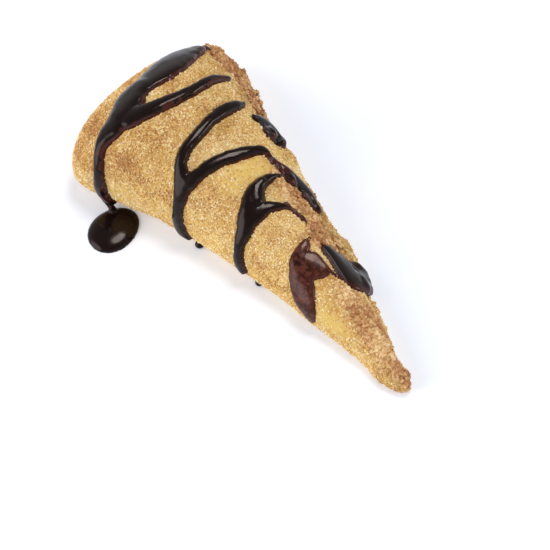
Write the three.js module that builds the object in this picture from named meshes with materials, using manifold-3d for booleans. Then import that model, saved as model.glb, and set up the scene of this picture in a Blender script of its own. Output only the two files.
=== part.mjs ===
// A fried rolled pastry: a tortilla wrapped into a tapering cone, closed and
// plump at the wide end and pressed flat at the tip. The free edge of the wrap
// makes a ridge along the far side with a rough shelf of layers under it.
// Chocolate sauce is drizzled across it in thick strokes, and one stroke runs
// down the smooth flank and ends in a small pool beside it.
// Millimetres, +Z up. +X runs from the wide end to the tip, +Y is the side of
// the ridge. The pastry rests flat on z = 0.

import * as THREE from 'three';
import Module from 'manifold-3d';
import { mergeVertices } from 'three/addons/utils/BufferGeometryUtils.js';

// ---------- pastry ----------
const LENGTH = 130;          // wide end to tip
const START = 2.85;          // lets the skewed wide end begin at x = 0
const STATIONS = [           // along, edge at -Y, edge at +Y, height, y of the crest
  [0, -16.9, 25.5, 23.8, 1.3],
  [12, -25.4, 29.0, 24.8, 1.8],
  [26, -21.1, 28.0, 27.5, 2.4],
  [44, -13.1, 24.5, 24.5, 5.4],
  [64, -7.2, 21.0, 20.0, 9.0],
  [84, -2.4, 17.9, 15.5, 11.0],
  [94, -1.0, 19.1, 13.4, 11.1],
  [104, 1.1, 16.6, 11.5, 10.6],
  [114, 3.0, 13.9, 9.6, 9.6],
  [122, 3.6, 11.2, 8.0, 8.4],
  [130, 6.2, 10.5, 6.0, 8.5],
];
const SKEW = 0.18;           // slant of the wide end
const SKEW_END = 60;         // the slant has died out here
const SKEW_MID = 5;
const END_ROUND = 9.9;       // rounding of the wide end, seen from above
const END_POWER = 3.4;
const END_ROUND_UP = 20.7;   // the same, seen from the side
const END_POWER_UP = 2.27;
const TIP_ROUND = 5;
const CORE_LEVEL = 0.42;     // height of the section's middle, as a share
const BASE_DROP = 0.8;       // how far the round section would dip below z = 0
const TOP_SHAPE = 2.25;      // superellipse exponents
const BASE_SHAPE = 3.2;
const SLOPE_SHAPE = [        // [along, exponent] over the ridge: boxy, then a falling plane
  [0, 1.75], [14, 2.15], [44, 2.3], [60, 2.8], [76, 2.4], [90, 1.75], [104, 1.6], [130, 1.8],
];

// ---------- wrap edge and the shelf of layers under it ----------
const WRAP = 2.0;            // thickness of the outer wrap at its free edge
const WRAP_FULL = 28;        // height of the pastry at which it has that thickness
const WRAP_LEAST = 0.3;      // share of it that is left where the pastry is thin
const RIDGE = [              // [along, girth angle of the free edge, degrees from +Y]
  [0, 20], [32, 22], [42, 29], [49, 39], [56, 45], [68, 44], [78, 40], [92, 34], [130, 30],
];
const RIDGE_FADE = 76;       // along: from here the free edge melts into the slope
const RIDGE_GONE = 98;
const STEP = 6;              // degrees over which the wrap steps up
const SHELF = [              // [along, how far the shelf stands out]
  [0, 4.7], [12, 5.1], [22, 4.9], [30, 3.7], [37, 2.9], [43, 4.5], [50, 5.1], [57, 3.9],
  [64, 4.3], [72, 4.5], [80, 4.9], [86, 5.0], [92, 3.1], [98, 1.1], [104, 0], [130, 0],
];
const SHELF_AT = -2;         // girth angle
const SHELF_SPREAD = 12;
const CREVICE = 1.6;         // depth of the groove between ridge and shelf
const CREVICE_BELOW = 9;     // degrees from the ridge down to the groove
const CREVICE_SPREAD = 7;
const CREVICE_FROM = 48;
const CREVICE_TO = 88;
const CREVICE_RUN = 12;      // length over which it comes and goes
const FOLD = 0.9;            // height of the second edge, left of the crevice
const FOLD_LINE = [          // [along, girth angle]
  [50, 48], [61, 63], [70, 78], [84, 86], [110, 90],
];
const FOLD_FROM = 54;
const FOLD_TO = 112;
const FOLD_RISE = 10;        // length over which it comes
const FOLD_FALL = 16;        // and goes
const FOLD_FOOT = -20;       // girth angle at which the sunk side is level again
const FOLD_SLOPE = 30;       // degrees from there to its full depth

// ---------- relief of the crust ----------
const SEED = 417;
const PRIMES = [374761393, 668265263, 2147483647];  // stir the random values
const STIR = 1274126177;
const FULL_SCALE = 4294967295;
const CRUST = 0.28;          // gentle unevenness everywhere
const BROAD = 13;            // size of its swellings
const BROAD_SHIFT = 5;       // the patterns of different size don't line up
const CRAG = 1.1;            // crags of the shelf and of the tip's top
const FLAKE = 4.2;           // size of a crag
const FLAKE_SHIFT = 9;
const FINER = 0.5;           // crags of half the size stand up half as far
const ROUGH_BELOW = 18;      // the crags lie this many degrees below the ridge
const ROUGH_SPREAD = 20;
const ROUGH_FADE = 30;       // they fade over the last stretch to the tip
const TIP_FROM = 100;        // the tip's own crags
const TIP_RUN = 18;
const TIP_AT = 75;
const TIP_SPREAD = 60;
const TIP_CRAG = 0.75;
const END_CALM = 1.2;        // the wide end is calmer than the rest

// ---------- sauce ----------
const SAUCE = 1.35;          // thickness of a full stroke
const THIN = 0.55;           // thickness of the thin smear near the tip
const SKIRT = 0.9;           // how deep a stroke is let into the pastry
const EDGE = 0.2;            // how far its rim stands off the crust
const DOME = 2.6;            // exponent of a stroke's cross-section
const LEAN = 0.35;           // share of the thickness that the narrowest stroke keeps
const FULL_WIDTH = 4.8;      // a stroke's thickness grows with its width up to here
const LEAST_HALF = 0.45;
const STROKES = [            // [along, girth angle, width] down each centre
  { high: SAUCE, path: [[8.9, 12, 2.0], [10.3, 27, 5.0], [10.3, 39, 8.5], [11.0, 50, 11.0],
    [11.5, 60, 11.4], [12.0, 70, 10.6], [12.3, 82, 9.0], [12.5, 94, 8.3], [13.1, 106, 8.4],
    [15.7, 124, 9.3], [17.7, 138, 7.3], [18.3, 149, 4.8], [19.4, 156, 3.1], [20.8, 162, 2.8],
    [22.0, 168, 3.0], [22.8, 177, 3.4], [23.4, 186, 3.4], [24.2, 193, 3.0], [25.2, 199, 2.4]] },
  { high: SAUCE, path: [[26.6, 32, 1.3], [25.7, 46, 2.7], [25.9, 57, 3.0], [25.9, 70, 3.2],
    [25.1, 86, 3.7], [23.6, 102, 4.4], [21.9, 114, 5.6], [19.4, 127, 7.0]] },
  { high: SAUCE, path: [[36.1, 38, 1.8], [36.0, 46, 3.2], [36.0, 57, 3.6], [36.6, 71, 3.3],
    [37.6, 86, 3.2], [38.6, 102, 3.3], [39.6, 116, 3.2], [41.3, 128, 3.2], [43.8, 136, 4.1],
    [46.4, 145, 4.8], [47.6, 155, 3.8], [48.3, 166, 3.1], [48.8, 177, 3.6], [49.5, 187, 3.5],
    [50.4, 194, 2.8], [51.6, 198, 1.8]] },
  { high: SAUCE, path: [[56.4, 59, 0.6], [54.9, 57, 0.9], [53.2, 57, 1.9], [51.8, 60, 2.8],
    [50.8, 68, 3.0], [49.8, 80, 3.6], [49.0, 91, 3.9], [48.1, 104, 3.7], [47.6, 118, 3.6],
    [47.3, 128, 3.6], [47.1, 138, 4.2]] },
  { high: SAUCE, path: [[61.2, 58, 0.9], [60.3, 68, 1.6], [60.0, 79, 2.6], [60.5, 93, 3.8],
    [61.6, 106, 4.6], [63.8, 118, 5.2], [66.0, 130, 5.8], [67.5, 140, 4.8], [68.5, 152, 3.4],
    [69.7, 165, 2.8], [70.7, 178, 3.0], [72.0, 187, 2.4]] },
  { high: 1.1, path: [[69.7, 84, 1.2], [68.0, 96, 2.6], [67.0, 106, 3.5], [66.5, 118, 4.6],
    [66.7, 130, 5.0]] },
  { high: THIN, path: [[80.7, 91, 0.8], [81.5, 101, 2.2], [82.7, 116, 3.1], [83.8, 127, 4.0],
    [85.5, 135, 4.6], [87.9, 142, 6.1], [90.2, 151, 7.0], [92.4, 160, 6.4], [94.7, 170, 5.2],
    [95.9, 178, 3.4], [96.8, 185, 1.4]] },
  { high: THIN, path: [[86.0, 130, 5.4], [87.7, 121, 6.8], [89.2, 113, 6.3], [90.3, 106, 4.3],
    [91.1, 101, 1.9]] },
  { high: 1.2, path: [[84.2, 74, 1.7], [85.9, 74, 4.2], [87.9, 71, 6.0], [90.2, 63, 9.0],
    [92.0, 52, 11.0], [93.6, 38, 11.5], [94.8, 22, 10.5], [95.8, 8, 8.0], [97.0, -2, 5.0],
    [98.6, -6, 2.6]] },
  { high: 1.5, path: [[39.8, 37, 1.8], [40.9, 34, 5.0], [42.2, 29, 8.0], [43.5, 23, 9.4],
    [44.8, 17, 9.0], [46.2, 11, 7.0], [47.6, 8, 3.4]] },
  { high: 1.2, path: [[56.4, 53, 1.4], [58.4, 49, 3.6], [61.0, 42, 5.6], [63.6, 35, 7.4],
    [66.2, 29, 8.0], [68.8, 25, 7.0], [71.2, 22, 4.6], [73.0, 20, 2.0]] },
  { high: THIN, path: [[69.2, 84, 1.8], [70.7, 82, 1.2], [72.6, 79, 1.7], [74.2, 76, 1.6],
    [75.8, 76, 0.8]] },
];
const SIDE_SAMPLES = [-1, -0.9, -0.55, 0, 0.55, 0.9, 1];
const BASE_SAMPLES = [0.9, 0, -0.9];

// ---------- the pool, the strand into it, two drips under the flank ----------
const POOL = { x: 36.6, y: -25.2, long: 8.5, wide: 6.8, high: 2.3, turn: 105 };
const POOL_DOME = 0.8;       // exponent of its round edge
const POOL_CROWN = 0.96;     // share of the quarter turn that the rings climb
const STRAND = [[26.9, -22.3, 7.2, 1.3], [28.1, -22.4, 4.6, 1.1], [29.2, -21.9, 2.8, 0.95],
  [30.6, -21.7, 1.7, 1.0], [32.2, -22.0, 1.1, 1.6]];  // x, y, z, radius
const DRIPS = [[55.7, -9.6, 0.9, 1.6, 1.1], [76.4, -3.9, 0.9, 1.4, 1.1]];  // x, y, z, r, r up

// ---------- middle of the whole outline, brought to x = y = 0 ----------
const MIDDLE_X = 65.43;
const MIDDLE_Y = 0.23;

// ---------- mesh fineness ----------
const ALONG_STEPS = 32;
const END_STEPS = 7;
const TIP_STEPS = 3;
const GIRTH_STEPS = 54;
const CLOSE_AT = 14;         // girth angle at which the columns are closest together
const CLOSENESS = 0.52;
const STROKE_PITCH = 2.5;
const POOL_ROWS = 5;
const POOL_AROUND = 26;
const STRAND_STEPS = 6;
const STRAND_SIDES = 10;
const DRIP_AROUND = 12;
const DRIP_ROWS = 8;
const PROBE_ALONG = 1;       // mm and degrees between which the surface's slope is taken
const PROBE_ROUND = 3;
const WELD = 1e-5;           // points closer than this are one

const clamp = (v, lo, hi) => Math.min(hi, Math.max(lo, v));
const rad = (d) => (d * Math.PI) / 180;
const smooth = (v) => {
  const t = clamp(v, 0, 1);
  return t * t * (3 - 2 * t);
};

// Seeded value noise, -1..1, one crag for each unit of p.
function lattice(i, j, k) {
  let h = Math.imul(i, PRIMES[0]) ^ Math.imul(j, PRIMES[1]) ^ Math.imul(k, PRIMES[2]);
  h = Math.imul(h ^ SEED ^ (h >>> 13), STIR);
  return (((h ^ (h >>> 16)) >>> 0) / FULL_SCALE) * 2 - 1;
}

function noise(x, y, z) {
  const [i, j, k] = [Math.floor(x), Math.floor(y), Math.floor(z)];
  const [u, v, w] = [smooth(x - i), smooth(y - j), smooth(z - k)];
  const mix = (a, b, t) => a + (b - a) * t;
  const row = (b, c) => mix(lattice(i, j + b, k + c), lattice(i + 1, j + b, k + c), u);
  return mix(mix(row(0, 0), row(1, 0), v), mix(row(0, 1), row(1, 1), v), w);
}

// Smooth curve through one column of a table whose first column is the place.
function curve(table, column, at) {
  const n = table.length;
  const s = clamp(at, table[0][0], table[n - 1][0]);
  let i = 0;
  while (i < n - 2 && s > table[i + 1][0]) i += 1;
  const slope = (k) => {
    const a = table[Math.max(0, k - 1)];
    const b = table[Math.min(n - 1, k + 1)];
    return (b[column] - a[column]) / (b[0] - a[0]);
  };
  const h = table[i + 1][0] - table[i][0];
  const t = (s - table[i][0]) / h;
  const [t2, t3] = [t * t, t * t * t];
  return (2 * t3 - 3 * t2 + 1) * table[i][column] + (t3 - 2 * t2 + t) * h * slope(i)
    + (3 * t2 - 2 * t3) * table[i + 1][column] + (t3 - t2) * h * slope(i + 1);
}

// How much of the full section is left in the rounded ends, 0..1.
function endShare(s, round, power) {
  if (s < round) return Math.pow(Math.max(0, 1 - Math.pow(1 - s / round, power)), 1 / power);
  const past = s - (LENGTH - TIP_ROUND);
  return past > 0 ? Math.sqrt(Math.max(0, 1 - Math.pow(past / TIP_ROUND, 2))) : 1;
}

const bump = (v, spread) => Math.exp(-Math.pow(v / spread, 2));

// Crust relief at a place on the pastry, in mm outwards.
function relief(s, deg, ridge, x, y, z) {
  const below = bump(deg - ridge + ROUGH_BELOW, ROUGH_SPREAD) * clamp((LENGTH - s) / ROUGH_FADE, 0, 1);
  const tip = smooth((s - TIP_FROM) / TIP_RUN) * bump(deg - TIP_AT, TIP_SPREAD);
  const [p, q, r] = [x / FLAKE, y / FLAKE, z / FLAKE];
  const coarse = noise(p, q, r) + FINER * noise(p / FINER + FLAKE_SHIFT, q / FINER, r / FINER);
  const broad = noise(x / BROAD + BROAD_SHIFT, y / BROAD, z / BROAD);
  return CRUST * broad + CRAG * Math.max(below, TIP_CRAG * tip) * coarse;
}

// Plain section: its axis under the crest, its radius at a girth angle, its height.
function core(s, deg) {
  const [left, right, high, mid] = [1, 2, 3, 4].map((column) => curve(STATIONS, column, s));
  const level = CORE_LEVEL * high;
  const [c, n] = [Math.cos(rad(deg)), Math.sin(rad(deg))];
  const half = c >= 0 ? right - mid : mid - left;
  const up = n >= 0 ? high - level : level + BASE_DROP;
  const top = c >= 0 ? curve(SLOPE_SHAPE, 1, s) : TOP_SHAPE;
  const power = n >= 0 ? top : BASE_SHAPE;
  const r = Math.pow(Math.pow(Math.abs(c) / half, power) + Math.pow(Math.abs(n) / up, power),
    -1 / power);
  return { mid, level, high, r, c, n };
}

// Point of the pastry's surface: s along it, deg round it from +Y towards +Z.
function surface(s, deg) {
  const { mid, level, high, r: plain, c, n } = core(s, deg);
  let r = plain;
  const fade = clamp(high / WRAP_FULL, WRAP_LEAST, 1);
  const ridge = curve(RIDGE, 1, s);
  const turn = (((deg - ridge) % 360) + 360) % 360;
  const side = ((deg + 540) % 360) - 180;
  const edge = 1 - smooth((s - RIDGE_FADE) / (RIDGE_GONE - RIDGE_FADE));
  r += WRAP * fade * edge * (1 - turn / 360) * smooth(turn / STEP);
  r += curve(SHELF, 1, s) * bump(side - SHELF_AT, SHELF_SPREAD);
  const groove = smooth((s - CREVICE_FROM) / CREVICE_RUN) * smooth((CREVICE_TO - s) / CREVICE_RUN);
  r -= CREVICE * groove * bump(side - ridge + CREVICE_BELOW, CREVICE_SPREAD);
  const fold = smooth((s - FOLD_FROM) / FOLD_RISE) * smooth((FOLD_TO - s) / FOLD_FALL);
  r -= FOLD * fold * smooth((curve(FOLD_LINE, 1, s) - side) / STEP)
    * smooth((side - FOLD_FOOT) / FOLD_SLOPE);
  const wide = endShare(s, END_ROUND, END_POWER);
  const tall = s < END_ROUND_UP ? endShare(s, END_ROUND_UP, END_POWER_UP) : wide;
  r += relief(s, side, ridge, s, mid + r * c, r * n) * Math.min(1, wide * END_CALM);
  const y = mid + r * c * wide;
  const z = Math.max(0, level + r * n * tall);
  const x = START + (s * (LENGTH - START)) / LENGTH
    + SKEW * clamp(1 - s / SKEW_END, 0, 1) * (SKEW_MID - y);
  return new THREE.Vector3(x, y, z);
}

// Outward direction of the plain section, and millimetres for a degree of girth.
function lie(s, deg) {
  const at = (a, d) => {
    const { mid, level, r, c, n } = core(a, d);
    return new THREE.Vector3(a, mid + r * c, level + r * n);
  };
  const along = at(s + PROBE_ALONG, deg).sub(at(s - PROBE_ALONG, deg));
  const round = at(s, deg + PROBE_ROUND).sub(at(s, deg - PROBE_ROUND));
  const perDegree = round.length() / (2 * PROBE_ROUND);
  return { normal: round.clone().cross(along).normalize(), perDegree };
}

// Closed skin from rings of equal size; a ring of one point closes an end.
function skin(rings) {
  const points = [];
  const faces = [];
  const starts = rings.map((ring) => {
    points.push(...ring);
    return points.length - ring.length;
  });
  for (let k = 0; k + 1 < rings.length; k += 1) {
    const [a, b] = [rings[k], rings[k + 1]];
    const count = Math.max(a.length, b.length);
    for (let i = 0; i < count; i += 1) {
      const j = (i + 1) % count;
      const at = (ring, base, n) => base + (ring.length === 1 ? 0 : n);
      const [p, q] = [at(a, starts[k], i), at(a, starts[k], j)];
      const [u, v] = [at(b, starts[k + 1], i), at(b, starts[k + 1], j)];
      if (p !== q) faces.push(p, q, u);
      if (u !== v) faces.push(q, v, u);
    }
  }
  const geometry = new THREE.BufferGeometry();
  const flat = points.flatMap((p) => [p.x, p.y, p.z]);
  geometry.setAttribute('position', new THREE.Float32BufferAttribute(flat, 3));
  geometry.setIndex(faces);
  return geometry;
}

// Turns the faces outwards when the enclosed volume comes out negative.
function outward(geometry) {
  const p = geometry.attributes.position;
  const index = geometry.index.array;
  const at = (i) => new THREE.Vector3().fromBufferAttribute(p, i);
  let volume = 0;
  for (let i = 0; i < index.length; i += 3) {
    volume += at(index[i]).dot(at(index[i + 1]).cross(at(index[i + 2])));
  }
  if (volume < 0) {
    for (let i = 0; i < index.length; i += 3) {
      [index[i], index[i + 1]] = [index[i + 1], index[i]];
    }
  }
  return geometry;
}

// Girth angles, closer together round the ridge and the shelf.
function girthAngles() {
  const angles = [];
  for (let i = 0; i < GIRTH_STEPS; i += 1) {
    const t = (i / GIRTH_STEPS) * 2 * Math.PI;
    angles.push(CLOSE_AT + (t - CLOSENESS * Math.sin(t)) * (180 / Math.PI));
  }
  return angles;
}

function pastryBody() {
  const places = [];
  for (let i = 1; i <= END_STEPS; i += 1) places.push(END_ROUND * Math.pow(i / END_STEPS, 2));
  const straight = LENGTH - TIP_ROUND - END_ROUND;
  for (let i = 1; i <= ALONG_STEPS; i += 1) places.push(END_ROUND + (straight * i) / ALONG_STEPS);
  for (let i = 1; i <= TIP_STEPS; i += 1) {
    places.push(LENGTH - TIP_ROUND + TIP_ROUND * Math.sin((i / (TIP_STEPS + 1)) * (Math.PI / 2)));
  }
  const angles = girthAngles();
  const rings = places.map((s) => angles.map((deg) => surface(s, deg)));
  return outward(skin([[surface(0, 0)], ...rings, [surface(LENGTH, 0)]]));
}

// One stroke of sauce laid on the surface, with a skirt let into the pastry.
function strokeBody({ high, path }) {
  const run = [0];
  for (let i = 1; i < path.length; i += 1) {
    const [a, b] = [path[i - 1], path[i]];
    run.push(run[i - 1] + Math.hypot(b[0] - a[0], (b[1] - a[1]) * lie(a[0], a[1]).perDegree));
  }
  const table = path.map((row, i) => [run[i], ...row]);
  const total = run[run.length - 1];
  const count = Math.ceil(total / STROKE_PITCH);
  const rings = [];
  for (let i = 0; i <= count; i += 1) {
    const t = (total * i) / count;
    const [s, deg, width] = [1, 2, 3].map((column) => curve(table, column, t));
    const { perDegree } = lie(s, deg);
    const [t0, t1] = [Math.max(0, t - PROBE_ALONG), Math.min(total, t + PROBE_ALONG)];
    const ds = curve(table, 1, t1) - curve(table, 1, t0);
    const dg = (curve(table, 2, t1) - curve(table, 2, t0)) * perDegree;
    const reach = Math.max(LEAST_HALF, width / 2) / Math.hypot(ds, dg);
    const thick = high * Math.min(1, LEAN + width / FULL_WIDTH);
    const laid = (u, h) => {
      const [a, d] = [s + dg * reach * u, deg - (ds * reach * u) / perDegree];
      return surface(a, d).addScaledVector(lie(a, d).normal, h);
    };
    const top = SIDE_SAMPLES.map((u) => laid(u, EDGE + (thick - EDGE)
      * Math.sqrt(Math.max(0, 1 - Math.pow(Math.abs(u), DOME)))));
    const base = BASE_SAMPLES.map((u) => laid(u, -SKIRT));
    rings.push([...top, ...base]);
  }
  const centre = (ring) => ring.reduce((sum, p) => sum.add(p), new THREE.Vector3())
    .divideScalar(ring.length);
  return outward(skin([[centre(rings[0])], ...rings, [centre(rings[count])]]));
}

function poolBody() {
  const dome = [];
  for (let i = 0; i <= POOL_ROWS; i += 1) {
    const a = (i / POOL_ROWS) * (Math.PI / 2) * POOL_CROWN;
    const out = Math.pow(Math.cos(a), POOL_DOME);
    const ring = [];
    for (let k = 0; k < POOL_AROUND; k += 1) {
      const t = (k / POOL_AROUND) * 2 * Math.PI;
      const p = new THREE.Vector3(POOL.long * out * Math.cos(t), POOL.wide * out * Math.sin(t), 0);
      p.applyAxisAngle(new THREE.Vector3(0, 0, 1), rad(POOL.turn));
      ring.push(p.add(new THREE.Vector3(POOL.x, POOL.y, POOL.high * Math.sin(a))));
    }
    dome.push(ring);
  }
  const foot = new THREE.Vector3(POOL.x, POOL.y, 0);
  const crown = new THREE.Vector3(POOL.x, POOL.y, POOL.high);
  return outward(skin([[foot], ...dome, [crown]]));
}

function strandBody() {
  const spine = new THREE.CatmullRomCurve3(STRAND.map(([x, y, z]) => new THREE.Vector3(x, y, z)));
  const rings = [];
  for (let i = 0; i <= STRAND_STEPS; i += 1) {
    const t = i / STRAND_STEPS;
    const middle = spine.getPoint(t);
    const forward = spine.getTangent(t);
    const sideways = new THREE.Vector3(0, 0, 1).cross(forward).normalize();
    const up = forward.clone().cross(sideways).normalize();
    const k = t * (STRAND.length - 1);
    const i0 = Math.min(STRAND.length - 2, Math.floor(k));
    const r = STRAND[i0][3] + (STRAND[i0 + 1][3] - STRAND[i0][3]) * (k - i0);
    const ring = [];
    for (let n = 0; n < STRAND_SIDES; n += 1) {
      const a = (n / STRAND_SIDES) * 2 * Math.PI;
      const p = middle.clone().addScaledVector(sideways, r * Math.cos(a));
      p.addScaledVector(up, r * Math.sin(a));
      ring.push(p);
    }
    rings.push(ring);
  }
  const [first, last] = [spine.getPoint(0), spine.getPoint(1)];
  return outward(skin([[first], ...rings, [last]]));
}

function dripBody([x, y, z, r, tall]) {
  const ball = new THREE.SphereGeometry(1, DRIP_AROUND, DRIP_ROWS);
  ball.scale(r, r, tall);
  ball.translate(x, y, z);
  ball.deleteAttribute('normal');
  ball.deleteAttribute('uv');
  return mergeVertices(ball, WELD);
}

const wasm = await Module();
wasm.setup();

function toSolid(geometry) {
  const merged = mergeVertices(geometry, WELD);
  return new wasm.Manifold(new wasm.Mesh({
    numProp: 3,
    vertProperties: new Float32Array(merged.attributes.position.array),
    triVerts: new Uint32Array(merged.index.array),
  }));
}

function toGeometry(solid) {
  const mesh = solid.getMesh();
  const geometry = new THREE.BufferGeometry();
  geometry.setAttribute('position', new THREE.BufferAttribute(mesh.vertProperties, 3));
  geometry.setIndex(new THREE.BufferAttribute(mesh.triVerts, 1));
  return geometry;
}

let whole = toSolid(pastryBody());
for (const stroke of STROKES) whole = whole.add(toSolid(strokeBody(stroke)));
whole = whole.add(toSolid(strandBody()));
for (const drip of DRIPS) whole = whole.add(toSolid(dripBody(drip)));
whole = whole.add(toSolid(poolBody()));
whole = whole.trimByPlane([0, 0, 1], 0);
// The outer skin alone: a bubble sealed in under the sauce is filled.
whole = whole.decompose().reduce((a, b) => (a.volume() > b.volume() ? a : b));

const pastry = toGeometry(whole);
pastry.translate(-MIDDLE_X, -MIDDLE_Y, 0);
pastry.computeVertexNormals();

const crust = new THREE.MeshStandardMaterial({ color: 0xdcae62, roughness: 0.8, metalness: 0 });
const mesh = new THREE.Mesh(pastry, crust);
mesh.name = 'pastry';

const group = new THREE.Group();
group.name = 'filled_pastry';
group.add(mesh);

export default group;
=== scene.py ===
import logging
import math
from dataclasses import dataclass, field
from enum import Enum

import bpy
import numpy as np
from mathutils import Matrix, Vector


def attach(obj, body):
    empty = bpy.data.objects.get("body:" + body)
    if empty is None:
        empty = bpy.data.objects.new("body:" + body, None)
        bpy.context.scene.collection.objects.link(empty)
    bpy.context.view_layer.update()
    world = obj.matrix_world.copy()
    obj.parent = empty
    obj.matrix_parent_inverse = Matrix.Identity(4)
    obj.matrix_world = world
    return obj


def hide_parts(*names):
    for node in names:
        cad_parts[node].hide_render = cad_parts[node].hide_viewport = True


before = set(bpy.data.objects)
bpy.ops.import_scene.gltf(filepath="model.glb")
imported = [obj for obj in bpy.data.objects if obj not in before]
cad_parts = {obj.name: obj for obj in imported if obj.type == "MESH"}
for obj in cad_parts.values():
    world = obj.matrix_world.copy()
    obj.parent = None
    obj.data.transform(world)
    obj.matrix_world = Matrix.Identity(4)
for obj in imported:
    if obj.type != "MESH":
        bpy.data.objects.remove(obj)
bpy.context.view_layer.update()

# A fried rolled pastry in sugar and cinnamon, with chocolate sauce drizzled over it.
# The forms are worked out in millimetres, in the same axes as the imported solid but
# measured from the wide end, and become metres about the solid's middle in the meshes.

MM = 0.001                      # metres in a millimetre
MIDDLE = np.array([65.43, 0.23, 0.0])   # mm, the solid's middle from the wide end's corner
SEED = 417
FULL_TURN = 360.0
HALF_TURN = 180.0
TINY = 1e-9                     # keeps a length that is divided by off zero

log = logging.getLogger("rolled_pastry")
Array = np.ndarray
Rows = tuple[tuple[float, ...], ...]
Skin = tuple[Array, list[Array]]    # points in mm, and blocks of faces
Colour = tuple[float, float, float, float]
Socket = bpy.types.NodeSocket


# ------------------------ plain helpers


def smooth(value: Array) -> Array:
    """Smooth step from 0 to 1 as the value goes from 0 to 1."""
    t = np.clip(value, 0.0, 1.0)
    return t * t * (3.0 - 2.0 * t)


def bump(value: Array, spread: float) -> Array:
    """Bell of height 1 round 0."""
    return np.exp(-((value / spread) ** 2))


def wrapped(degrees: Array) -> Array:
    """The same angle between -180 and 180 degrees."""
    return (degrees + FULL_TURN + HALF_TURN) % FULL_TURN - HALF_TURN


@dataclass(frozen=True)
class Curve:
    """A smooth curve through rows of a place and the values there."""

    rows: Rows

    def at(self, place: Array, column: int = 1) -> Array:
        """Reads one column of the curve.

        Args:
            place: Where to read it, in the unit of the first column.
            column: The column that is read.

        Returns:
            The value at each place; the end values hold beyond the ends.
        """
        table = np.array(self.rows, float)
        x, y = table[:, 0], table[:, column]
        slope = np.empty(len(x))
        slope[1:-1] = (y[2:] - y[:-2]) / (x[2:] - x[:-2])
        slope[0] = (y[1] - y[0]) / (x[1] - x[0])
        slope[-1] = (y[-1] - y[-2]) / (x[-1] - x[-2])
        s = np.clip(place, x[0], x[-1])
        i = np.clip(np.searchsorted(x, s, side="left") - 1, 0, len(x) - 2)
        h = x[i + 1] - x[i]
        t = (s - x[i]) / h
        t2, t3 = t * t, t * t * t
        return ((2 * t3 - 3 * t2 + 1) * y[i] + (t3 - 2 * t2 + t) * h * slope[i]
                + (3 * t2 - 2 * t3) * y[i + 1] + (t3 - t2) * h * slope[i + 1])


class Lumps:
    """Seeded value noise between -1 and 1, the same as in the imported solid."""

    PRIMES = (374761393, 668265263, 2147483647)
    STIR = 1274126177
    SHIFTS = (13, 16)
    LARGEST = 4294967295.0

    @classmethod
    def lattice(cls, *places: Array) -> Array:
        """The random value at whole-numbered places.

        Args:
            places: The places' three numbers.

        Returns:
            The value at each, from -1 to 1.
        """
        first, second = (np.uint32(shift) for shift in cls.SHIFTS)
        with np.errstate(over="ignore"):
            a, b, c = (v.astype(np.int64).astype(np.uint32) * np.uint32(prime)
                       for v, prime in zip(places, cls.PRIMES))
            h = a ^ b ^ c
            h = (h ^ np.uint32(SEED) ^ (h >> first)) * np.uint32(cls.STIR)
            h = h ^ (h >> second)
        return h / cls.LARGEST * 2.0 - 1.0

    @classmethod
    def at(cls, points: Array, size: float, shift: float = 0.0) -> Array:
        """Noise with one lump for each size.

        Args:
            points: Places in mm, three columns.
            size: Width of a lump in mm.
            shift: Moves the pattern, so that two of one size differ.

        Returns:
            The noise at each point, from -1 to 1.
        """
        p = points / size
        x, y, z = p[..., 0] + shift, p[..., 1], p[..., 2]
        i, j, k = np.floor(x), np.floor(y), np.floor(z)
        u, v, w = smooth(x - i), smooth(y - j), smooth(z - k)
        total = 0.0
        for di, pu in ((0, 1 - u), (1, u)):
            for dj, pv in ((0, 1 - v), (1, v)):
                for dk, pw in ((0, 1 - w), (1, w)):
                    total = total + cls.lattice(i + di, j + dj, k + dk) * pu * pv * pw
        return total


@dataclass(frozen=True)
class Ripple:
    """Seeded unevenness: its height, its size in mm and a shift of its pattern."""

    high: float
    size: float
    shift: float = 0.0

    def at(self, points: Array) -> Array:
        """The unevenness at each point, in the unit of its height."""
        return self.high * Lumps.at(points, self.size, self.shift)


Ripples = tuple[Ripple, ...]


def rippled(ripples: Ripples, points: Array, start: Array | float = 0.0) -> Array:
    """Several ripples on top of each other, and of what they start from."""
    return sum((ripple.at(points) for ripple in ripples), start)


@dataclass(frozen=True)
class Patch:
    """A soft-edged area of the pastry's surface where something is stronger."""

    along: float
    girth: float
    long: float
    wide: float
    amount: float

    def at(self, s: Array, side: Array) -> Array:
        """How strong it is at a place, from 0 to its amount."""
        far = ((s - self.along) / self.long) ** 2 + (wrapped(side - self.girth) / self.wide) ** 2
        return self.amount * np.exp(-far)


Patches = tuple[Patch, ...]


def patched(patches: Patches, s: Array, side: Array) -> Array:
    """The strongest of several patches at each place."""
    return np.max([patch.at(s, side) for patch in patches], axis=0)


# ------------------------ meshes


class Shading(Enum):
    """How a mesh's faces meet."""

    ROUNDED = True
    FACETED = False


def new_object(name: str, data: bpy.types.ID) -> bpy.types.Object:
    """Puts a mesh, a light or a camera into the scene.

    Args:
        name: The object's name.
        data: What it shows.

    Returns:
        The new object, at the origin.
    """
    item = bpy.data.objects.new(name, data)
    bpy.context.scene.collection.objects.link(item)
    return item


def set_points(mesh: bpy.types.Mesh, points: Array) -> None:
    """Moves a mesh's points to places in mm from the wide end."""
    mesh.vertices.foreach_set("co", ((points - MIDDLE) * MM).astype(np.float32).ravel())


def piece_points(piece: bpy.types.Object) -> Array:
    """Reads where a piece's points are.

    Args:
        piece: The piece.

    Returns:
        Its points in mm from the wide end.
    """
    flat = np.zeros(len(piece.data.vertices) * 3, np.float32)
    piece.data.vertices.foreach_get("co", flat)
    return flat.reshape(-1, 3).astype(float) / MM + MIDDLE


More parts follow.
